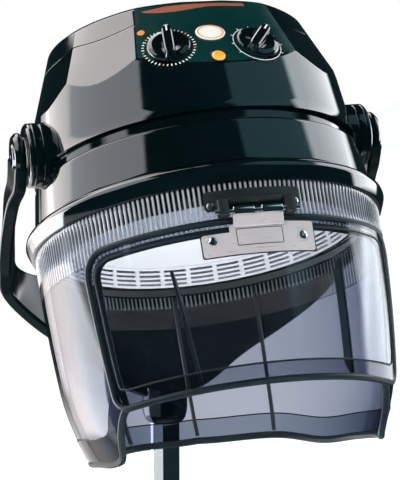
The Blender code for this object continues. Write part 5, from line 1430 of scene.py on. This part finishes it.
def lamp_and_badge():
    """The pilot lamp in its bezel, and the bare oval badge with a plain ring."""
    place = panel_frame(*LAMP)
    lens = [(0.0078, 0.0), (0.0078, 0.0022), (0.0058, 0.0042), (0.0010, 0.0048)]
    lens = rod(rounded(lens, 0.0012, closed=False), 48)
    piece("lamp_lens", turned_to(lens, place), LENS, "hood", ["pilot_lamp"])
    bezel = rounded([(0.0080, 0.0), (0.0094, 0.0), (0.0094, 0.0016), (0.0080, 0.0018)], 0.0005, 2)
    piece("lamp_bezel", turned_to(lathe(bezel, 48), place), BLACK, "hood")
    # The badge is turned as a disc of radius one and squeezed into its oval
    oval = panel_frame(*BADGE) @ Matrix.Diagonal((*BADGE_HALF, 1.0, 1.0))
    disc = [(0.90, 0.0003), (1.0, 0.0003), (1.0, 0.0012), (0.93, 0.0017), (0.02, 0.0018)]
    plate = rod(rounded(disc, 0.0004, 2, closed=False), 72)
    trim = lathe([(0.80, 0.00175), (0.885, 0.00172), (0.885, 0.0020), (0.80, 0.0020)], 72)
    shape, starts = merged([plate, trim])
    piece("badge_plate", turned_to(shape, oval), CREAM, "hood", ["badge_oval"],
          groups=[(ORANGE, range(starts[1], starts[2]))])


# Pivots and fork


def pivots():
    """The round bosses at the hood's sides, each with two fine grooves."""
    r, low, high = BOSS_R, BOSS_INNER, BOSS_OUTER
    groove = r - BOSS_GROOVE
    outline = [(TIP, low), (r - 0.004, low), (r, low + 0.006)]
    for start in (high - 0.0165, high - 0.0070):
        outline += [(r, start), (groove, start + 0.0006), (groove, start + 0.0012), (r, start + 0.0018)]
    outline += [(r - 0.0003, high - 0.0024), (r - 0.0030, high - 0.0002), (TIP, high)]
    boss = rod(rounded(outline, 0.0005, closed=False), 96)
    for side, sign in (("left", -1.0), ("right", 1.0)):
        along = TO_PIVOT @ Matrix.Rotation(sign * math.pi / 2.0, 4, "Y")
        piece(f"boss_{side}", boss, BLACK, "hood", [f"pivot_boss_{side}"], place=along)


def fork():
    """The swept fork: two eyes, arms that run down and back into one funnel, and the hub under it."""
    backs, fronts = [], []
    for out, rear, front in FORK_HEAD:
        backs.append(Vector((FORK_MID + out, *rear)))
        fronts.append(Vector((FORK_MID + out, *front)))
    for share, lean, rear, front in FORK_SWEEP:
        x = (FORK_MID + FORK_FLARE) * share
        backs.append(Vector((x * lean, *rear)))
        fronts.append(Vector((x, *front)))
    for edge, middle in ((backs, FORK_BACK), (fronts, (POLE_BEHIND, HUB_LOW + HUB_R))):
        edge += [Vector((0.0, *middle))] + mirrored(edge[::-1])
    edges = zip(smooth_path(backs, 5), smooth_path(fronts, 5))
    grid = [[a.lerp(b, t) for t in spread(0.0, 1.0, 8)] for a, b in edges]
    web = piece("fork_web", loft(grid, around=False), FORK, "yoke", ["fork"], TO_PIVOT, 60.0)
    thick = web.modifiers.new("thickness", "SOLIDIFY")
    thick.thickness = FORK_THICK * WEB_SHARE
    thick.offset = 0.0
    softened(web, WEB_ROUND, WEB_TURN, 4)
    web.visible_glossy = False

    half, edge = FORK_THICK / 2.0, FORK_EYE - EYE_ROUND
    outline = [(edge, -half), (FORK_EYE, EYE_ROUND - half), (FORK_EYE, half - EYE_ROUND), (edge, half)]
    disc = rod([(TIP, -half)] + rounded(outline, 0.002, closed=False) + [(TIP, half)], 72)
    ends = [turned_to(disc, Matrix.Translation((x, 0.0, 0.0)) @ ON_SIDE) for x in (-FORK_MID, FORK_MID)]
    outline = [(0.0205, 0.0), (0.0262, 0.002), (HUB_R, 0.014), (HUB_R, HUB_HEIGHT)]
    outline = [(r, HUB_LOW + z) for r, z in outline]
    hub = rod(rounded(outline, 0.004, 5, closed=False), 72)
    ends.append(turned_to(hub, Matrix.Translation((0.0, POLE_BEHIND, 0.0))))
    piece("fork_ends", merged(ends)[0], BLACK, "yoke", ["fork"], TO_PIVOT)


def finishes():
    """Finishes for the CAD pieces that are shown as they are."""
    looks = {
        "black_gloss": BLACK, "stand_black": STAND, "stand_steel": CHROME, "black_satin": SATIN,
        "smoke": SMOKE, "white": WHITE, "panel": PANEL, "orange": ORANGE, "cream": CREAM,
        "chrome": CHROME, "aluminium": ALLOY, "steel": STEEL, "mica": MICA, "nylon": NYLON, "tyre": TYRE,
    }
    slots = {entry["node"]: entry["material_slot"] for entry in frame["record"]["subparts"]}
    for name, obj in frame["nodes"].items():
        obj.data.materials.clear()
        obj.data.materials.append(looks[slots[name]])
        weld = obj.modifiers.new("weld", "WELD")
        weld.merge_threshold = WELD
        softened(obj, CAD_ROUND, CAD_TURN, 2)


# Stage, light and camera


def seen_by(tree):
    """Whether the camera sees a place, straight or through smoke, and whether gloss mirrors it."""
    path = add(tree, "ShaderNodeLightPath", {}).outputs
    shown = math_node(tree, "MAXIMUM", path["Is Camera Ray"], path["Is Transmission Ray"])
    return shown, path["Is Glossy Ray"]


def stage():
    """The white floor, lifted to the surround's white where the camera sees it."""
    half = FLOOR_HALF
    mesh = bpy.data.meshes.new("floor")
    mesh.from_pydata([(-half, -half, 0.0), (half, -half, 0.0), (half, half, 0.0), (-half, half, 0.0)], [],
                     [(0, 1, 2, 3)])
    floor = placed("floor", mesh)
    made, tree, shader = shader_of("floor_paint")
    fill(tree, shader, {
        "Base Color": blended(tree, noise_of(tree, FLOOR_CLOUD), *FLOOR_TONES),
        "Roughness": FLOOR_ROUGH,
        "Emission Color": WHITE_LIGHT,
        "Emission Strength": math_node(tree, "MULTIPLY", seen_by(tree)[0], FLOOR_LIFT),
    })
    mesh.materials.append(made)
    floor.visible_glossy = False


def window(tree, value, low, high, soft_low, soft_high):
    """One inside a range, fading to nothing over the given widths outside it."""
    rise = ranged(tree, value, 0.0, 1.0, low - soft_low, low)
    fall = ranged(tree, value, 1.0, 0.0, high, high + soft_high)
    return math_node(tree, "MULTIPLY", rise, fall)


def studio():
    """A white surround for the camera, soft ambient light, and bright patches seen only in gloss."""
    world = bpy.data.worlds.new("studio")
    bpy.context.scene.world = world
    world.use_nodes = True
    tree = world.node_tree
    tree.nodes.clear()
    around = add(tree, "ShaderNodeTexCoord", {}).outputs["Generated"]
    inputs = {"Angle": VIEW_TURN, "Vector": around}
    turned = add(tree, "ShaderNodeVectorRotate", inputs, rotation_type="Z_AXIS").outputs["Vector"]
    x, y, z = add(tree, "ShaderNodeSeparateXYZ", {"Vector": turned}).outputs
    turn = math_node(tree, "ARCTAN2", x, math_node(tree, "MULTIPLY", y, -1.0))
    azimuth = math_node(tree, "MULTIPLY", turn, 180.0 / math.pi)
    height = math_node(tree, "MULTIPLY", math_node(tree, "ARCSINE", z), 180.0 / math.pi)

    def patch(across, tall, strength, soft):
        wide = window(tree, azimuth, *across, soft[0], soft[0])
        shape = math_node(tree, "MULTIPLY", wide, window(tree, height, *tall, soft[1], soft[1]))
        return math_node(tree, "MULTIPLY", shape, ramps.get(strength, strength))

    def background(colour, strength):
        return add(tree, "ShaderNodeBackground", {"Color": colour, "Strength": strength})

    bright = math_node(tree, "MULTIPLY", window(tree, azimuth, *BRIGHT_SPAN), BRIGHT_MORE)
    strong = ranged(tree, azimuth, *STRONG)
    ramps = {
        "bright": math_node(tree, "ADD", bright, BRIGHT_LEAST),
        "strong": strong,
        "weak": math_node(tree, "MULTIPLY", strong, WEAK_SHARE),
    }
    total, *others = [patch(*values) for values in PATCHES.values()]
    ground = ranged(tree, height, *GROUND)
    for part in others + [ground]:
        total = math_node(tree, "ADD", total, part)
    side = ranged(tree, azimuth, 0.0, 1.0, *TONE_SPAN)
    reflected = background(blended(tree, side, *TONES, 0.0, 1.0), total)
    dim = background(GLOW_TONE, math_node(tree, "ADD", patch(*GLOW), GLOW_LEAST))
    gloss = add(tree, "ShaderNodeAddShader", {0: reflected.outputs[0], 1: dim.outputs[0]})
    shown, glossy = seen_by(tree)
    lit = mix(tree, glossy, background(AMBIENT_TONE, AMBIENT), gloss)
    final = mix(tree, shown, lit, background(WHITE_LIGHT, 1.0))
    add(tree, "ShaderNodeOutputWorld", {"Surface": final.outputs[0]})


def softbox(name, place, aim, size, power):
    """A broad lamp for the soft light, not seen in reflections."""
    lamp = bpy.data.lights.new(name, "AREA")
    lamp.shape = "RECTANGLE"
    lamp.size, lamp.size_y = size
    lamp.energy = power
    obj = placed(name, lamp)
    look = (Vector(aim) - Vector(place)).to_track_quat("-Z", "Y").to_matrix().to_4x4()
    obj.matrix_world = Matrix.Translation(place) @ look
    obj.visible_glossy = False
    obj.visible_camera = False


def photographer():
    """The photograph's camera, turned to the hood's rim."""
    level = math.cos(VIEW_DOWN)
    right = Vector((math.cos(VIEW_TURN), -math.sin(VIEW_TURN), 0.0))
    forward = Vector((math.sin(VIEW_TURN) * level, math.cos(VIEW_TURN) * level, -math.sin(VIEW_DOWN)))
    up = right.cross(forward)
    aim = LIP + right * AIM_ACROSS + up * AIM_UP
    data = bpy.data.cameras.new("photo_camera")
    data.lens = VIEW_LENS
    data.sensor_width = VIEW_SENSOR
    data.dof.use_dof = False
    camera = placed("photo_camera", data)
    turn = Matrix((right, up, -forward)).transposed().to_4x4()
    camera.matrix_world = Matrix.Translation(aim - forward * VIEW_DISTANCE) @ turn
    bpy.context.scene.camera = camera


finishes()
upper_casing()
lower_casing()
rim_ring()
air_ring()
inner_dome()
skirt()
skirt_struts()
visor_flap()
flap_ribs()
hinge()
control_panel()
prints()
knob("timer", 0.0)
knob("heat", -40.0)
lamp_and_badge()
pivots()
fork()
stage()
studio()
for lamp_name, values in LAMPS.items():
    softbox(lamp_name, *values)
photographer()
bpy.context.scene.view_settings.view_transform = "Standard"
